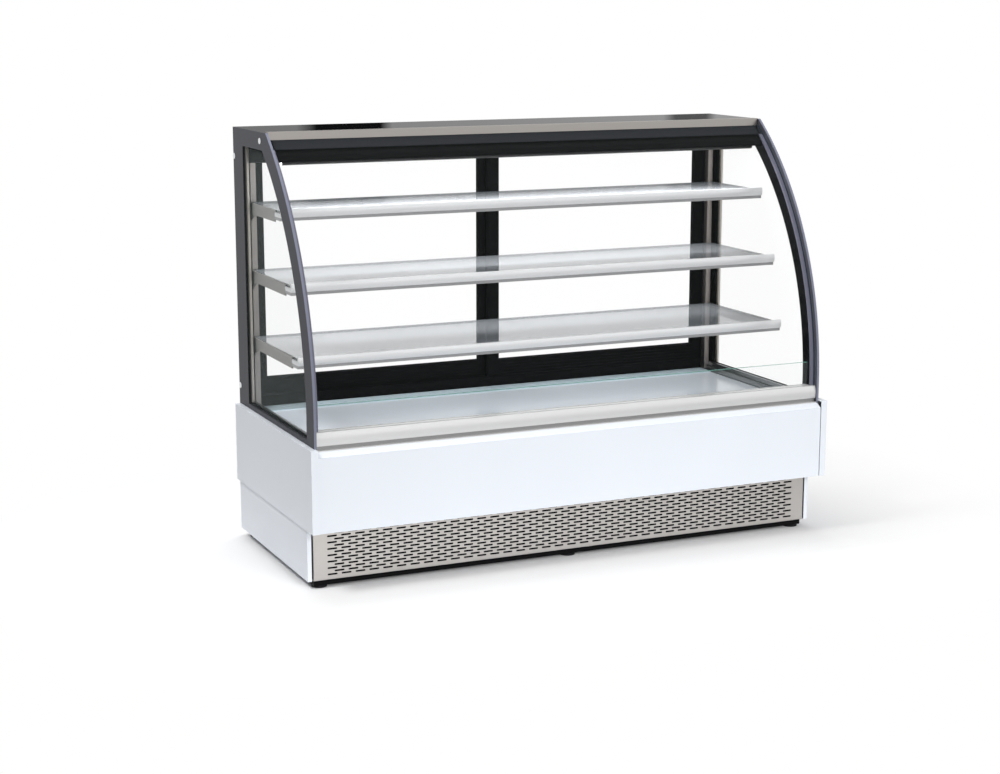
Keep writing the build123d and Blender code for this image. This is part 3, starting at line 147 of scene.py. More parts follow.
class Tree:
    # a node tree that is written as steps, each step giving a Shade
    def __init__(self, tree):
        self.tree = tree
        tree.nodes.clear()

    def node(self, kind, settings, inputs, output=0):
        made = self.tree.nodes.new(kind)
        for key, value in settings.items():
            setattr(made, key, value)
        for key, value in inputs.items():
            for one in value if isinstance(value, list) else [value]:
                if isinstance(one, Shade):
                    self.tree.links.new(one.socket, made.inputs[key])
                else:
                    made.inputs[key].default_value = one
        return Shade(self, made.outputs[output]) if made.outputs else None

    def ray(self, kind):
        return self.node("ShaderNodeLightPath", {}, {}, "Is " + kind + " Ray")

    def seen(self):
        # 1 for what the camera sees, also mirrored or through glass, and 0 for what only lights the cabinet
        return self.ray("Camera").larger(self.ray("Glossy")).larger(self.ray("Transmission"))


class Paint(Tree):
    # one material with its object coordinates
    def __init__(self, name):
        self.material = bpy.data.materials.new(name)
        self.material.use_nodes = True
        super().__init__(self.material.node_tree)
        self.place = self.node("ShaderNodeTexCoord", {}, {}, "Object")
        self.x, self.y, self.z = (
            self.node("ShaderNodeSeparateXYZ", {}, {"Vector": self.place}, axis) for axis in "XYZ"
        )

    def mix(self, share, first, second):
        return self.node("ShaderNodeMix", {"data_type": "RGBA"}, {0: share, 6: first, 7: second}, 2)

    def noise(self, scale, detail=2.0, stretch=(1, 1, 1), roughness=0.5):
        stretched = self.node("ShaderNodeMapping", {}, {"Vector": self.place, "Scale": stretch})
        return self.node("ShaderNodeTexNoise", {}, {
            "Vector": stretched, "Scale": scale, "Detail": detail, "Roughness": roughness,
        })

    def bump(self, height, strength, distance):
        return self.node("ShaderNodeBump", {}, {
            "Height": height, "Strength": strength, "Distance": distance,
        })

    def facing(self):
        return self.node("ShaderNodeLayerWeight", {}, {"Blend": 0.28}, "Facing")

    def surface(self, inputs):
        return self.finish(self.node("ShaderNodeBsdfPrincipled", {}, inputs))

    def finish(self, shader):
        self.node("ShaderNodeOutputMaterial", {}, {"Surface": shader})
        return self.material


# finishes

def darker(colour, share):
    return tuple(channel * share for channel in colour[:3]) + (1.0,)


def powderCoat(name, colour, roughness=0.34, peel=0.05, gleam=0.35):
    paint = Paint(name)
    cloud = paint.noise(scale=3.5, detail=3.0)
    grain = paint.noise(scale=620.0, detail=1.0)
    return paint.surface({
        "Base Color": paint.mix(cloud, darker(colour, 0.965), colour),
        "Roughness": cloud * 0.10 + (roughness - 0.05),
        "Specular IOR Level": gleam,
        "Normal": paint.bump(grain, strength=peel, distance=0.0004),
    })


def brushedMetal(name, colour, roughness, along, streak, metallic=1.0, paintedShade=None):
    # the mask given here marks the parts that lie in the shade of a fold, and painted shade darkens their
    # colour there
    paint = Paint(name)
    stretch = {"x": (0.012, 1, 1), "y": (1, 0.012, 1), "z": (1, 1, 0.012)}[along]
    lines = paint.noise(scale=900.0, detail=3.0, stretch=stretch, roughness=0.65)
    cloud = paint.noise(scale=2.6)
    shade = paint.mix(lines * 0.8 + cloud * 0.2, darker(colour, 1 - 3.2 * streak), colour)
    if paintedShade:
        # painted shade: the masked parts take a darker copy of the colour
        shade = paint.mix(paintedShade(paint), shade, darker(colour, 0.42))
    return paint.surface({
        "Base Color": shade,
        "Metallic": metallic,
        "Roughness": lines * streak * 2 + (roughness - streak),
        "Normal": paint.bump(lines, strength=0.12, distance=0.0002),
    })


def lowBands(names, start, end):
    # a mask of the heights from start to end above the lowest point of each node
    def mask(paint):
        total = None
        for name in names:
            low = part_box(name)[0][2]
            band = (paint.z > low + start) * (paint.z < low + end)
            total = band if total is None else total + band
        return total
    return mask


def moulded(name, colour, roughness=0.5, grainSize=900.0, gleam=0.4):
    paint = Paint(name)
    grain = paint.noise(scale=grainSize)
    cloud = paint.noise(scale=9.0)
    return paint.surface({
        "Base Color": paint.mix(cloud, darker(colour, 0.88), colour),
        "Roughness": grain * 0.12 + (roughness - 0.06),
        "Specular IOR Level": gleam,
        "Normal": paint.bump(grain, strength=0.15, distance=0.0002),
    })


paneLook = {
    "tint": tone(206, 220, 218), "edge": tone(60, 70, 82), "edgeAlpha": 0.9,
    "squareOn": 0.003, "glancing": 0.22, "falloff": 3.0, "gleam": 0.5,
}
riserLook = dict(paneLook, edge=tone(104, 160, 146), edgeAlpha=0.75, squareOn=0.03)
shelfLook = {
    "tint": tone(172, 177, 182), "edge": tone(58, 66, 70), "edgeAlpha": 0.9,
    "squareOn": 0.05, "glancing": 1.0, "falloff": 1.5, "gleam": 0.2,
}


def seeThrough(paint, look):
    # how solid the glass looks, more so at a glancing angle
    return paint.facing() ** look["falloff"] * (look["glancing"] - look["squareOn"]) + look["squareOn"]


def clearPane(name, look, edgeMask):
    paint = Paint(name)
    haze = paint.noise(scale=6.0)
    mask = edgeMask(paint)
    tint = paint.mix(haze, look["tint"], darker(look["tint"], 0.94))
    return paint.surface({
        "Base Color": paint.mix(mask, tint, look["edge"]),
        "Roughness": haze * 0.02 + 0.01,
        "Specular IOR Level": look["gleam"],
        "Alpha": seeThrough(paint, look).larger(mask * look["edgeAlpha"]),
    })


def cutEdges(name, axes, depth=0.001):
    # a mask of a pane's cut edges: both ends along x, the far end along y or z
    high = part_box(name)[1]

    def mask(paint):
        total = None
        for axis in axes:
            place = abs(paint.x) if axis == "x" else getattr(paint, axis)
            edge = place > high["xyz".index(axis)] - depth
            total = edge if total is None else total.larger(edge)
        return total
    return mask


# the side panes' outline, the print that runs round their edges, and the clear middle
archPrint = {
    "centreY": 0.7151, "centreZ": 0.510, "radius": 1.0776, "width": 0.068,
    "rearY": 0.2855, "topZ": 1.298, "lowZ": 0.465,
    "slate": tone(77, 78, 84), "black": tone(13, 13, 15),
    # the rim is a painted highlight: a thin lighter line along the outer pane's curved edge
    "rim": tone(124, 127, 143), "rimWidth": 0.0012,
    "squareOn": 0.003, "glancing": 0.203, "falloff": 3.0,
}


def printedPane(name, ink, hasRim):
    paint = Paint(name)
    rise = (paint.z - archPrint["centreZ"]).larger(0.0)
    run = archPrint["centreY"] - paint.y
    reach = (run * run + rise * rise) ** 0.5
    band = reach > (archPrint["radius"] - archPrint["width"])
    printed = band.larger(paint.y > archPrint["rearY"]).larger(paint.z > archPrint["topZ"])
    printed = printed.larger(paint.z < archPrint["lowZ"])
    cloud = paint.noise(scale=7.0, detail=3.0)
    shade = paint.mix(cloud, ink, darker(ink, 0.9))
    # painted highlight along the pane's outer curved edge
    if hasRim:
        shade = paint.mix(reach > (archPrint["radius"] - archPrint["rimWidth"]), shade, archPrint["rim"])
    return paint.surface({
        "Base Color": paint.mix(printed, paneLook["tint"], shade),
        "Roughness": cloud * 0.03 + 0.05,
        "Specular IOR Level": 0.02,
        "Alpha": seeThrough(paint, archPrint).larger(printed),
    })


def darkPane(name):
    paint = Paint(name)
    cloud = paint.noise(scale=2.0)
    return paint.surface({
        "Base Color": paint.mix(cloud, tone(12, 12, 14), tone(20, 21, 23)),
        "Roughness": cloud * 0.02 + 0.035,
        "Specular IOR Level": 0.26,
    })


def lampFinish(name, colour, strength, blackDepth):
    # the front of the lamp is a black cover, and the lens behind it glows
    paint = Paint(name)
    cover = paint.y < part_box("led_lamps")[0][1] + blackDepth
    cells = paint.noise(scale=30.0, detail=1.0, stretch=(1, 0.1, 0.1))
    lens = paint.mix(cells, colour, darker(colour, 0.9))
    return paint.surface({
        "Base Color": paint.mix(cover, lens, tone(12, 12, 13)),
        "Roughness": 0.4,
        "Emission Color": paint.mix(cover, lens, tone(0, 0, 0)),
        "Emission Strength": strength,
    })


def glowing(name, colour, strength):
    paint = Paint(name)
    cells = paint.noise(scale=400.0, detail=1.0)
    shade = paint.mix(cells, colour, darker(colour, 0.85))
    return paint.surface({
        "Base Color": shade,
        "Roughness": 0.4,
        "Emission Color": shade,
        "Emission Strength": strength,
    })


def feltFinish(name, colour):
    paint = Paint(name)
    fluff = paint.noise(scale=420.0, detail=4.0, roughness=0.7)
    return paint.surface({
        "Base Color": paint.mix(fluff, darker(colour, 0.5), colour),
        "Roughness": 0.95,
        "Specular IOR Level": 0.05,
        "Normal": paint.bump(fluff, strength=0.6, distance=0.001),
    })


def deckFinish(name):
    paint = Paint(name)
    cloud = paint.noise(scale=2.2, detail=3.0)
    return paint.surface({
        "Base Color": paint.mix(cloud, tone(220, 229, 238), tone(229, 236, 244)),
        "Roughness": cloud * 0.06 + 0.14,
        "Specular IOR Level": 0.3,
    })


shelfRails = ["shelf_rail_top", "shelf_rail_middle", "shelf_rail_lower"]
finishes = {
    "white": powderCoat("whitePowderCoat", tone(233, 238, 245)),
    "blackSteel": powderCoat("blackChassisPaint", tone(15, 15, 16), roughness=0.55, peel=0.08, gleam=0.06),
    "blackProfile": powderCoat("blackProfilePaint", tone(11, 11, 12), roughness=0.36, peel=0.04, gleam=0.03),
    "slate": powderCoat("slateClampPaint", tone(40, 42, 46), roughness=0.38, peel=0.05, gleam=0.04),
    "bracket": powderCoat("bracketPaint", tone(146, 144, 141), roughness=0.42, peel=0.06, gleam=0.3),
    "stainless": brushedMetal(
        "brushedStainless", tone(214, 210, 206), roughness=0.34, along="x", streak=0.05,
    ),
    "galvanised": brushedMetal(
        "galvanisedSheet", tone(168, 172, 174), roughness=0.42, along="y", streak=0.08,
    ),
    "trim": brushedMetal("deckTrimSteel", tone(142, 146, 150), roughness=0.3, along="y", streak=0.07),
    "gutter": brushedMetal(
        "airStripSteel", tone(190, 208, 216), roughness=0.30, along="x", streak=0.04, metallic=0.2,
    ),
    "fins": brushedMetal("finAluminium", tone(176, 180, 183), roughness=0.4, along="z", streak=0.07),
    "copper": brushedMetal("copperTube", tone(186, 116, 78), roughness=0.28, along="z", streak=0.06),
    "rail": brushedMetal(
        "railAluminium", tone(224, 225, 227), roughness=0.32, along="x", streak=0.02, metallic=0.35,
        # painted shade on the lower lip of each shelf rail, which sits back behind the rail's face
        paintedShade=lowBands(shelfRails, -0.001, 0.0095),
    ),
    "bumper": brushedMetal(
        "bumperAluminium", tone(222, 222, 222), roughness=0.30, along="x", streak=0.025, metallic=0.45,
        # painted shade in the bumper's undercut, just above its lower lip
        paintedShade=lowBands(["front_bumper"], 0.0032, 0.0145),
    ),
    "topStrip": brushedMetal(
        "topStripAluminium", tone(186, 181, 176), roughness=0.36, along="x", streak=0.04,
    ),
    "upright": brushedMetal("uprightAluminium", tone(178, 172, 168), roughness=0.36, along="z", streak=0.04),
    "spacer": brushedMetal("spacerAluminium", tone(206, 200, 192), roughness=0.4, along="z", streak=0.04),
    "chrome": brushedMetal("polishedCaps", tone(214, 216, 218), roughness=0.12, along="z", streak=0.02),
    "tank": moulded("tankSkin", tone(216, 219, 221), roughness=0.45, grainSize=500.0),
    "cornerTrim": moulded("cornerTrim", tone(108, 108, 124), roughness=0.42, grainSize=700.0),
    "blackPlastic": moulded("blackPlastic", tone(24, 25, 27), gleam=0.25),
    "rubber": moulded("blackRubber", tone(19, 19, 20), roughness=0.7, grainSize=1200.0, gleam=0.15),
    "greyPlastic": moulded("greyPlastic", tone(128, 132, 136)),
    "redPlastic": moulded("redSwitch", tone(168, 36, 31), roughness=0.35),
    "greenPlastic": moulded("greenSwitch", tone(43, 122, 62), roughness=0.35),
    "deck": deckFinish("deckEnamel"),
    "lamp": lampFinish("lampDiffuser", tone(248, 250, 252), strength=4.0, blackDepth=0.01305),
    "display": darkPane("displayWindow"),
    "digits": glowing("displayDigits", tone(255, 96, 48), strength=3.0),
    # painted shade: this felt's near-black colour stands in for the shade behind the grille slots
    "felt": feltFinish("filterFelt", tone(20, 20, 21)),
    "clear": clearPane("clearGlass", paneLook, cutEdges("front_glass", "x")),
    "riser": clearPane("riserGlass", riserLook, cutEdges("front_riser_glass", "z", depth=0.0012)),
    "shelfGlass": clearPane("shelfGlass", shelfLook, cutEdges("shelf_glass_top", "xy")),
    "outerPane": printedPane("outerSideGlass", archPrint["slate"], hasRim=True),
    "innerPane": printedPane("innerSideGlass", archPrint["black"], hasRim=False),
    "roof": darkPane("roofGlass"),
}
print("finishes made:", len(finishes))

finishOf = {
    "white": [
        "base_side_left", "base_side_right", "skirt_left", "skirt_right", "front_fascia", "fascia_lip",
        "rear_lower_panel",
    ],
    "blackSteel": ["chassis_frame", "compressor", "condenser_fan_motor"],
    "blackProfile": ["light_header", "door_surround", "door_left_frame", "door_right_frame"],
    "slate": ["top_clamp_profile"],
    "bracket": ["shelf_brackets"],
    "stainless": ["front_grille", "rear_grille", "condensate_pan"],
    "galvanised": ["machine_tray", "condenser_shroud"],
    "trim": ["deck_trims"],
    "gutter": ["rear_air_grille"],
    "fins": ["condenser_coil", "evaporator_coil", "condenser_fan_blade"],
    "copper": ["refrigerant_pipes"],
    "rail": shelfRails,
    "bumper": ["front_bumper"],
    "topStrip": ["top_front_strip"],
    "upright": ["shelf_uprights"],
    "chrome": ["glass_fixing_caps"],
    "tank": ["insulated_tank"],
    "cornerTrim": ["corner_trims"],
    "blackPlastic": [
        "levelling_feet", "cable_gland", "controller_panel", "evaporator_fan_motors", "evaporator_fan_left",
        "evaporator_fan_right",
    ],
    "greyPlastic": ["electrics_box", "button_up", "button_down"],
    "redPlastic": ["rocker_power"],
    "greenPlastic": ["rocker_light"],
    "deck": ["deck_panel"],
    "lamp": ["led_lamps"],
    "clear": ["front_glass", "door_left_glass", "door_right_glass"],
    "riser": ["front_riser_glass"],
    "shelfGlass": ["shelf_glass_top", "shelf_glass_middle", "shelf_glass_lower"],
    "outerPane": ["side_glass_left", "side_glass_right"],
    "innerPane": ["side_inner_glass"],
    "roof": ["top_glass"],
}
for finish, names in finishOf.items():
    for name in names:
        for slot in nodes[name].material_slots:
            slot.material = finishes[finish]
print("finishes set on", sum(len(names) for names in finishOf.values()), "nodes")


# pieces made here

def flatPiece(name, finish, points, faces):
    mesh = bpy.data.meshes.new(name)
    mesh.from_pydata(points, [], faces)
    mesh.materials.append(finishes[finish])
    piece = bpy.data.objects.new(name, mesh)
    bpy.context.collection.objects.link(piece)
    return piece


def block(low, high):
    # the corners and faces of one box, faces outwards
    (x0, y0, z0), (x1, y1, z1) = low, high
    points = [(x, y, z) for x in (x0, x1) for y in (y0, y1) for z in (z0, z1)]
    faces = [(0, 1, 3, 2), (4, 6, 7, 5), (0, 4, 5, 1), (2, 3, 7, 6), (0, 2, 6, 4), (1, 5, 7, 3)]
    return points, faces


def joined(shapes):
    points, faces = [], []
    for morePoints, moreFaces in shapes:
        faces += [tuple(index + len(points) for index in face) for face in moreFaces]
        points += morePoints
    return points, faces


def placePiece(piece, body, replaced=()):
    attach(piece, body)
    if replaced:
        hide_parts(*replaced)


class Growth(Tree):
    # a Geometry Nodes tree with named inputs
    def __init__(self, name, sizes):
        group = bpy.data.node_groups.new(name, "GeometryNodeTree")
        super().__init__(group)
        face = group.interface
        face.new_socket("Geometry", in_out="INPUT", socket_type="NodeSocketGeometry")
        for label, value in sizes.items():
            kind = "NodeSocketInt" if isinstance(value, int) else "NodeSocketFloat"
            face.new_socket(label, in_out="INPUT", socket_type=kind)
        face.new_socket("finish", in_out="INPUT", socket_type="NodeSocketMaterial")
        face.new_socket("Geometry", in_out="OUTPUT", socket_type="NodeSocketGeometry")
        self.sizes = sizes
        entry = group.nodes.new("NodeGroupInput")
        self.given = {socket.name: Shade(self, socket) for socket in entry.outputs if socket.name}

    def vector(self, x=0.0, y=0.0, z=0.0):
        return self.node("ShaderNodeCombineXYZ", {}, {0: x, 1: y, 2: z})

    def join(self, *shapes):
        return self.node("GeometryNodeJoinGeometry", {}, {0: list(shapes)})

    def move(self, shape, by, turn=(0, 0, 0)):
        return self.node("GeometryNodeTransform", {}, {
            "Geometry": shape, "Translation": by, "Rotation": turn,
        })

    def fill(self, *curves):
        return self.node("GeometryNodeFillCurve", {"mode": "TRIANGLES"}, {"Curve": self.join(*curves)})

    def wall(self, curve, along):
        # the walls of an opening, which face into it
        edges = self.node("GeometryNodeCurveToMesh", {}, {"Curve": curve})
        walls = self.node("GeometryNodeExtrudeMesh", {"mode": "EDGES"}, {"Mesh": edges, "Offset": along})
        return self.node("GeometryNodeFlipFaces", {}, {"Mesh": walls})

    def grow(self, shape, piece, finish):
        # runs the tree on a piece and leaves a plain mesh
        real = self.node("GeometryNodeRealizeInstances", {}, {0: shape})
        painted = self.node("GeometryNodeSetMaterial", {}, {
            "Geometry": real, "Material": self.given["finish"],
        })
        self.node("NodeGroupOutput", {}, {0: painted})
        modifier = piece.modifiers.new(self.tree.name, "NODES")
        modifier.node_group = self.tree
        values = dict(self.sizes, finish=finishes[finish])
        for item in self.tree.interface.items_tree:
            if item.in_out == "INPUT" and item.name in values:
                modifier[item.identifier] = values[item.name]
        grown = piece.evaluated_get(bpy.context.evaluated_depsgraph_get())
        mesh = bpy.data.meshes.new_from_object(grown)
        piece.modifiers.clear()
        piece.data = mesh
        return piece


grille = {
    "slotLength": 0.032,
    "slotHeight": 0.0056,
    "across": 0.045,         # from slot to slot
    "up": 0.010,             # from row to row
    "columns": 37,
    "longRows": 8,           # rows with the full number of slots
    "lowestRow": 0.042,      # height of its middle
    "sheet": 0.0008,
}
roundEnd = 0.4999            # radius of a slot's ends as a share of its height, just short of a half


def makeFrontGrille():
    low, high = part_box("front_grille")
    facts = grille
    tree = Growth("slottedSheet", facts)
    given = tree.given
    outer = tree.node("GeometryNodeCurvePrimitiveQuadrilateral", {}, {
        "Width": given["across"], "Height": given["up"],
    })
    slot = tree.node("GeometryNodeCurvePrimitiveQuadrilateral", {}, {
        "Width": given["slotLength"], "Height": given["slotHeight"],
    })
    slot = tree.node("GeometryNodeFilletCurve", {"mode": "POLY"}, {
        "Curve": slot, "Radius": given["slotHeight"] * roundEnd, "Limit Radius": True, "Count": 4,
    })
    face = tree.fill(outer, slot)
    inwards = tree.vector(0.0, 0.0, given["sheet"] * -1)
    back = tree.node("GeometryNodeFlipFaces", {}, {"Mesh": tree.move(face, inwards)})
    cell = tree.join(face, back, tree.wall(slot, inwards))

    def rows(columns, count):
        points = tree.node("GeometryNodeMeshGrid", {}, {
            "Size X": given["across"] * (columns - 1), "Size Y": given["up"] * (count - 1) * 2,
            "Vertices X": columns, "Vertices Y": count,
        })
        return tree.node("GeometryNodeInstanceOnPoints", {}, {"Points": points, "Instance": cell})

    longRows = rows(given["columns"], given["longRows"])
    shortRows = rows(given["columns"] - 1, given["longRows"] - 1)
    middle = given["lowestRow"] + given["up"] * (given["longRows"] - 1)
    field = tree.move(tree.join(longRows, shortRows), tree.vector(0.0, low[1], middle), (math.pi / 2, 0, 0))
    halfWide = facts["across"] * facts["columns"] / 2
    bottom = facts["lowestRow"] - facts["up"] / 2
    top = bottom + facts["up"] * (facts["longRows"] * 2 - 1)
    sheetBack = low[1] + facts["sheet"]

    def plate(x0, x1, z0, z1):
        # a plain stretch of the sheet, front and back
        corners = ((x0, z0), (x1, z0), (x1, z1), (x0, z1))
        points = [(x, y, z) for y in (low[1], sheetBack) for x, z in corners]
        return points, [(0, 1, 2, 3), (7, 6, 5, 4)]

    shapes = [
        plate(low[0], -halfWide, bottom, top), plate(halfWide, high[0], bottom, top),
        plate(low[0], high[0], low[2], bottom), plate(low[0], high[0], top, high[2]),
    ]
    for row in range(facts["longRows"] - 1):
        rowLow = bottom + facts["up"] * (row * 2 + 1)
        shapes.append(plate(-halfWide, facts["across"] / 2 - halfWide, rowLow, rowLow + facts["up"]))
        shapes.append(plate(halfWide - facts["across"] / 2, halfWide, rowLow, rowLow + facts["up"]))
    thick = facts["sheet"]
    shapes += [
        block((low[0], low[1], low[2]), (low[0] + thick, high[1], high[2])),
        block((high[0] - thick, low[1], low[2]), (high[0], high[1], high[2])),
        block((low[0], low[1], low[2]), (high[0], high[1], low[2] + thick)),
        block((low[0], low[1], high[2] - thick), (high[0], high[1], high[2])),
    ]
    piece = flatPiece("frontGrille", "stainless", *joined(shapes))
    tree.grow(tree.join(given["Geometry"], field), piece, "stainless")
    placePiece(piece, "cabinet", ["front_grille"])
    print("front grille made with", len(piece.data.polygons), "faces")


shadeFilterMat = {"thickness": 0.005, "behindGrille": 0.0012, "halfLength": 0.850, "bottom": 0.0505, "top": 0.190}


def makeShadeFilterMat():
    # a dust filter mat behind the slots, near-black so that it also stands in for the shade of the machine
    # bay behind them: painted shade
    facts = shadeFilterMat
    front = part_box("front_grille")[1][1] + facts["behindGrille"]
    low = (-facts["halfLength"], front, facts["bottom"])
    high = (facts["halfLength"], front + facts["thickness"], facts["top"])
    piece = flatPiece("shadeFilterMat", "felt", *block(low, high))
    placePiece(piece, "cabinet")


spacerBar = {"width": 0.0145, "rearY": 0.2854, "gap": 0.0004, "bottom": 0.470, "top": 1.296}


def makeSpacerBars():
    # the light bar that holds the outer and inner side panes apart, in front of the rear print
    facts = spacerBar
    low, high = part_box("side_inner_glass")
    between = (high[0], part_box("side_glass_right")[0][0])
    shapes = []
    for side in (-1, 1):
        ends = sorted((side * (between[0] + facts["gap"]), side * (between[1] - facts["gap"])))
        shapes.append(block(
            (ends[0], facts["rearY"] - facts["width"], facts["bottom"]),
            (ends[1], facts["rearY"], facts["top"]),
        ))
    piece = flatPiece("spacerBars", "spacer", *joined(shapes))
    placePiece(piece, "cabinet")


railPlug = {"wall": 0.0020, "noseWidth": 0.012, "thickness": 0.0025, "gap": 0.0001}


def makeRailPlugs():
    # plugs that close the hollow ends of the shelf rails
    facts = railPlug
    shapes = []
    for place in ("top", "middle", "lower"):
        low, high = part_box("shelf_rail_" + place)
        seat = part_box("shelf_glass_" + place)[0][2]
        inset = facts["wall"] + facts["gap"]
        for side in (-1, 1):
            ends = sorted((side * high[0], side * (high[0] - facts["thickness"])))
            shapes.append(block(
                (ends[0], low[1] + facts["noseWidth"] + facts["gap"], low[2] + inset),
                (ends[1], high[1] - inset, seat - inset),
            ))
    piece = flatPiece("railPlugs", "rail", *joined(shapes))
    placePiece(piece, "cabinet")


screw = {
    "radius": 0.0042, "height": 0.0016, "sides": 18,
    "topShare": 0.82,        # the rest are shares of the radius, and the depth one of the height
    "crossInner": 0.16, "crossOuter": 0.52, "crossDepth": 0.6,
}
# where the rear screws stand on each node, along x and up z
screwPlaces = {
    "rear_grille": {"x": (-0.861, -0.615, -0.205, 0.205, 0.615, 0.861), "z": (0.0345, 0.1860)},
    "rear_lower_panel": {"x": (-0.861, -0.430, 0.0, 0.430, 0.861), "z": (0.2065, 0.4275)},
    "controller_panel": {"x": (-0.6490, -0.4710), "z": (0.3185, 0.3515)},
}


def makeScrews():
    tree = Growth("crossHeadScrews", screw)
    given = tree.given
    topRadius = given["radius"] * given["topShare"]
    side = tree.node("GeometryNodeMeshCone", {"fill_type": "NONE"}, {
        "Vertices": given["sides"], "Radius Top": topRadius, "Radius Bottom": given["radius"],
        "Depth": given["height"],
    }, "Mesh")
    circle = tree.node("GeometryNodeCurvePrimitiveCircle", {}, {
        "Resolution": given["sides"], "Radius": topRadius,
    })
    cross = tree.node("GeometryNodeCurveStar", {}, {
        "Points": 4, "Inner Radius": given["radius"] * given["crossInner"],
        "Outer Radius": given["radius"] * given["crossOuter"],
    })
    deep = tree.vector(0.0, 0.0, given["height"] * given["crossDepth"] * -1)
    top = tree.join(tree.fill(circle, cross), tree.wall(cross, deep), tree.move(tree.fill(cross), deep))
    head = tree.join(side, tree.move(top, tree.vector(0.0, 0.0, given["height"])))
    upright = tree.move(head, (0.0, 0.0, 0.0), (-math.pi / 2, 0, 0))
    points = []
    for name, places in screwPlaces.items():
        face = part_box(name)[1][1]
        points += [(x, face, z) for x in places["x"] for z in places["z"]]
    heads = tree.node("GeometryNodeInstanceOnPoints", {}, {"Points": given["Geometry"], "Instance": upright})
    piece = flatPiece("rearScrews", "chrome", points, [])
    tree.grow(heads, piece, "chrome")
    placePiece(piece, "cabinet")
    print("screws made with", len(piece.data.polygons), "faces")


gasket = {
    "width": 0.0042, "thickness": 0.0026,
    "thinShare": 0.05,       # of the thickness, left at the edge on the pane
    "stile": 0.043, "bottomRail": 0.0654, "topRail": 0.045,
}


def makeGaskets():
    # mitred rubber wedges that hold the door panes, on both faces
    facts = gasket
    for side in ("left", "right"):
        frameLow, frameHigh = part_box("door_" + side + "_frame")
        paneLow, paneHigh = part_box("door_" + side + "_glass")
        x0, x1 = frameLow[0] + facts["stile"], frameHigh[0] - facts["stile"]
        z0, z1 = frameLow[2] + facts["bottomRail"], frameHigh[2] - facts["topRail"]
        points, faces = [], []
        for paneY, outY in ((paneLow[1], -facts["thickness"]), (paneHigh[1], facts["thickness"])):
            start = len(points)
            for inset, share in ((0.0, 1.0), (facts["width"], facts["thinShare"])):
                left, right, bottom, top = x0 + inset, x1 - inset, z0 + inset, z1 - inset
                corners = ((left, bottom), (right, bottom), (right, top), (left, top))
                points += [(x, paneY + outY * share, z) for x, z in corners]
            for corner in range(4):
                after = (corner + 1) % 4
                ring = (start + corner, start + after, start + 4 + after, start + 4 + corner)
                faces.append(ring if outY < 0 else ring[::-1])
        piece = flatPiece("gasket" + side.capitalize(), "rubber", points, faces)
        placePiece(piece, "door_" + side)


display = {
    "fromEnd": 0.037, "sunk": 0.001, "window": (0.0455, 0.0215), "thickness": 0.0006,
    "digitHeight": 0.013, "digitWidth": 0.0072, "digitDepth": 0.0002, "stroke": 0.0014,
}


def makeDisplay():
    # the controller's dark window with a plain 4, seen from behind the cabinet
    facts = display
    low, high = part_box("controller_panel")
    x, z = low[0] + facts["fromEnd"], (low[2] + high[2]) / 2
    halfX, halfZ = facts["window"][0] / 2, facts["window"][1] / 2
    floorY = high[1] - facts["sunk"]
    front = floorY + facts["thickness"]
    pane = block((x - halfX, floorY, z - halfZ), (x + halfX, front, z + halfZ))
    placePiece(flatPiece("displayWindow", "display", *pane), "cabinet")
    wide, tall, stroke = facts["digitWidth"] / 2, facts["digitHeight"] / 2, facts["stroke"]
    bars = [
        (-wide, 0, stroke, tall), (wide - stroke, 0, stroke, tall), (wide - stroke, -tall, stroke, tall),
        (-wide, -stroke / 2, 2 * wide, stroke),
    ]
    shapes = []
    for across, up, width, height in bars:
        corner = (x - across, front + facts["digitDepth"], z + up + height)
        shapes.append(block((x - across - width, front, z + up), corner))
    placePiece(flatPiece("displayDigits", "digits", *joined(shapes)), "cabinet")


makeFrontGrille()
makeShadeFilterMat()
makeSpacerBars()
makeRailPlugs()
makeScrews()
makeGaskets()
makeDisplay()
print("small pieces made")


# studio

studio = {
    "world": 0.38,           # how strongly the surroundings light the cabinet
    "bounce": 0.12,          # and how strongly the bright floor does
    "floorColours": (tone(250, 250, 251), tone(253, 253, 253)),
    "floorHalf": 14,
    "mattHalf": (0.893, 0.325),      # half the length and depth of the floor that has no glow
    "fadeLength": 0.9,               # from there to the plain white floor
    "fadeShape": 0.65,
    "mirrorFrom": -1.1,      # the floor that metal mirrors darkens from here to the right
    "mirrorLength": 2.4,
    "mirrorFade": 0.45,
}
black, white = tone(0, 0, 0), tone(255, 255, 255)


def placeSheet(name, corners, material):
    mesh = bpy.data.meshes.new(name)
    mesh.from_pydata(corners, [], [(0, 1, 2, 3)])
    mesh.materials.append(material)
    sheet = bpy.data.objects.new(name, mesh)
    bpy.context.collection.objects.link(sheet)
    return sheet


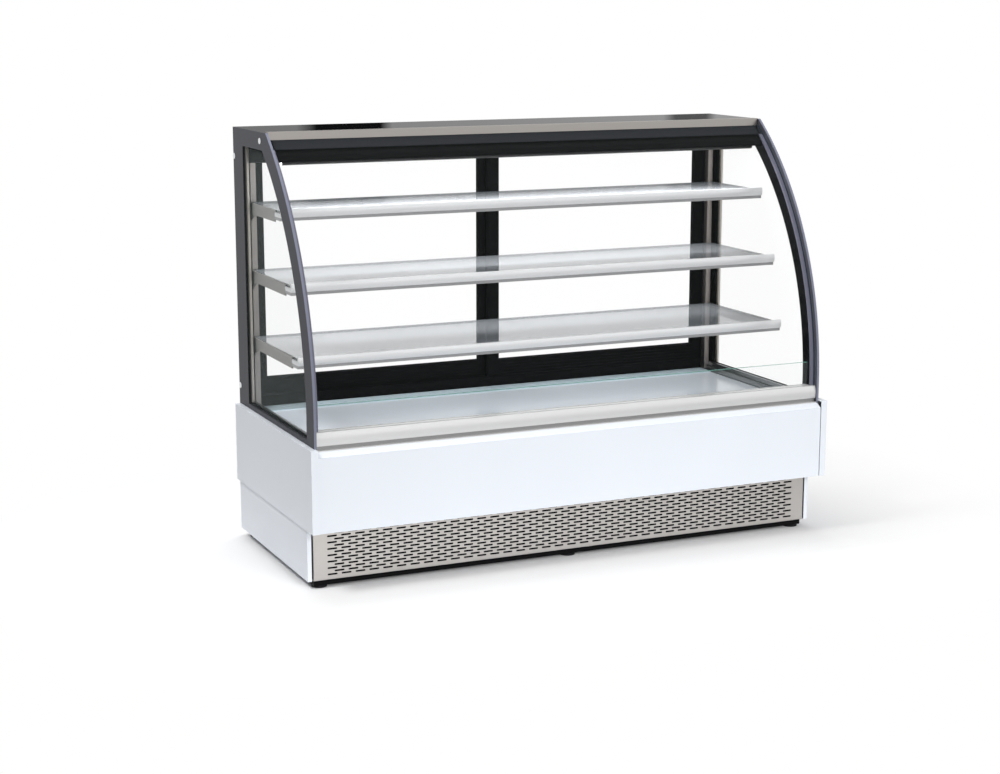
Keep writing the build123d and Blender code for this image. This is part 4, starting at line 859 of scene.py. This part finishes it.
def makeFloor():
    facts = studio
    paint = Paint("studioFloor")
    sideways = (abs(paint.x) - facts["mattHalf"][0]).larger(0.0)
    outwards = (abs(paint.y) - facts["mattHalf"][1]).larger(0.0)
    away = (sideways * sideways + outwards * outwards) ** 0.5
    share = (away / facts["fadeLength"]).smaller(1.0) ** facts["fadeShape"]
    shade = paint.mix(paint.noise(scale=2.0), *facts["floorColours"])
    matt = paint.node("ShaderNodeBsdfDiffuse", {}, {"Color": shade})
    rightwards = ((paint.x - facts["mirrorFrom"]) / facts["mirrorLength"]).larger(0.0).smaller(1.0)
    darkening = rightwards * facts["mirrorFade"] * paint.ray("Glossy")
    strength = paint.seen() * (1 - facts["bounce"]) + facts["bounce"] - darkening
    glow = paint.node("ShaderNodeEmission", {}, {"Color": paint.mix(strength, black, white)})
    paint.finish(paint.node("ShaderNodeMixShader", {}, {0: share, 1: matt, 2: glow}))
    half = facts["floorHalf"]
    corners = [(-half, -half, 0), (half, -half, 0), (half, half, 0), (-half, half, 0)]
    placeSheet("studioFloor", corners, paint.material)


def makeWorld():
    world = bpy.data.worlds.new("studio")
    bpy.context.scene.world = world
    world.use_nodes = True
    sky = Tree(world.node_tree)
    glow = sky.node("ShaderNodeBackground", {}, {
        "Color": white, "Strength": sky.seen() * (1 - studio["world"]) + studio["world"],
    })
    sky.node("ShaderNodeOutputWorld", {}, {"Surface": glow})
    bpy.context.scene.view_settings.view_transform = "Standard"


# grey and black boards behind the cabinet, which only its roof glass mirrors
boards = {
    "y": 3.0, "bottom": 1.38, "top": 2.2,
    "stops": [               # places along x, each with its brightness
        (-2.0, 0.12), (0.20, 0.26), (0.30, 0.004), (0.62, 0.004), (0.68, 0.34), (2.15, 0.42),
        (2.22, 0.12), (2.40, 0.12), (2.46, 0.45), (5.0, 0.45),
    ],
}


def makeBoards():
    paint = Paint("studioBoards")
    brightness = None
    stops = boards["stops"]
    for (x0, before), (x1, after) in zip(stops, stops[1:]):
        share = ((paint.x - x0) / (x1 - x0)).larger(0.0).smaller(1.0) * (after - before)
        brightness = share + before if brightness is None else brightness + share
    paint.finish(paint.node("ShaderNodeEmission", {}, {"Color": paint.mix(brightness, black, white)}))
    left, right, bottom, top = stops[0][0], stops[-1][0], boards["bottom"], boards["top"]
    corners = [(left, bottom), (right, bottom), (right, top), (left, top)]
    board = placeSheet("studioBoards", [(x, boards["y"], z) for x, z in corners], paint.material)
    board.visible_camera = board.visible_diffuse = board.visible_shadow = board.visible_transmission = False


makeCamera()
for lampName, lampFacts in lamps.items():
    makeLamp(lampName + "Lamp", lampFacts)
makeFloor()
makeWorld()
makeBoards()
print("camera, lamps and floor ready")
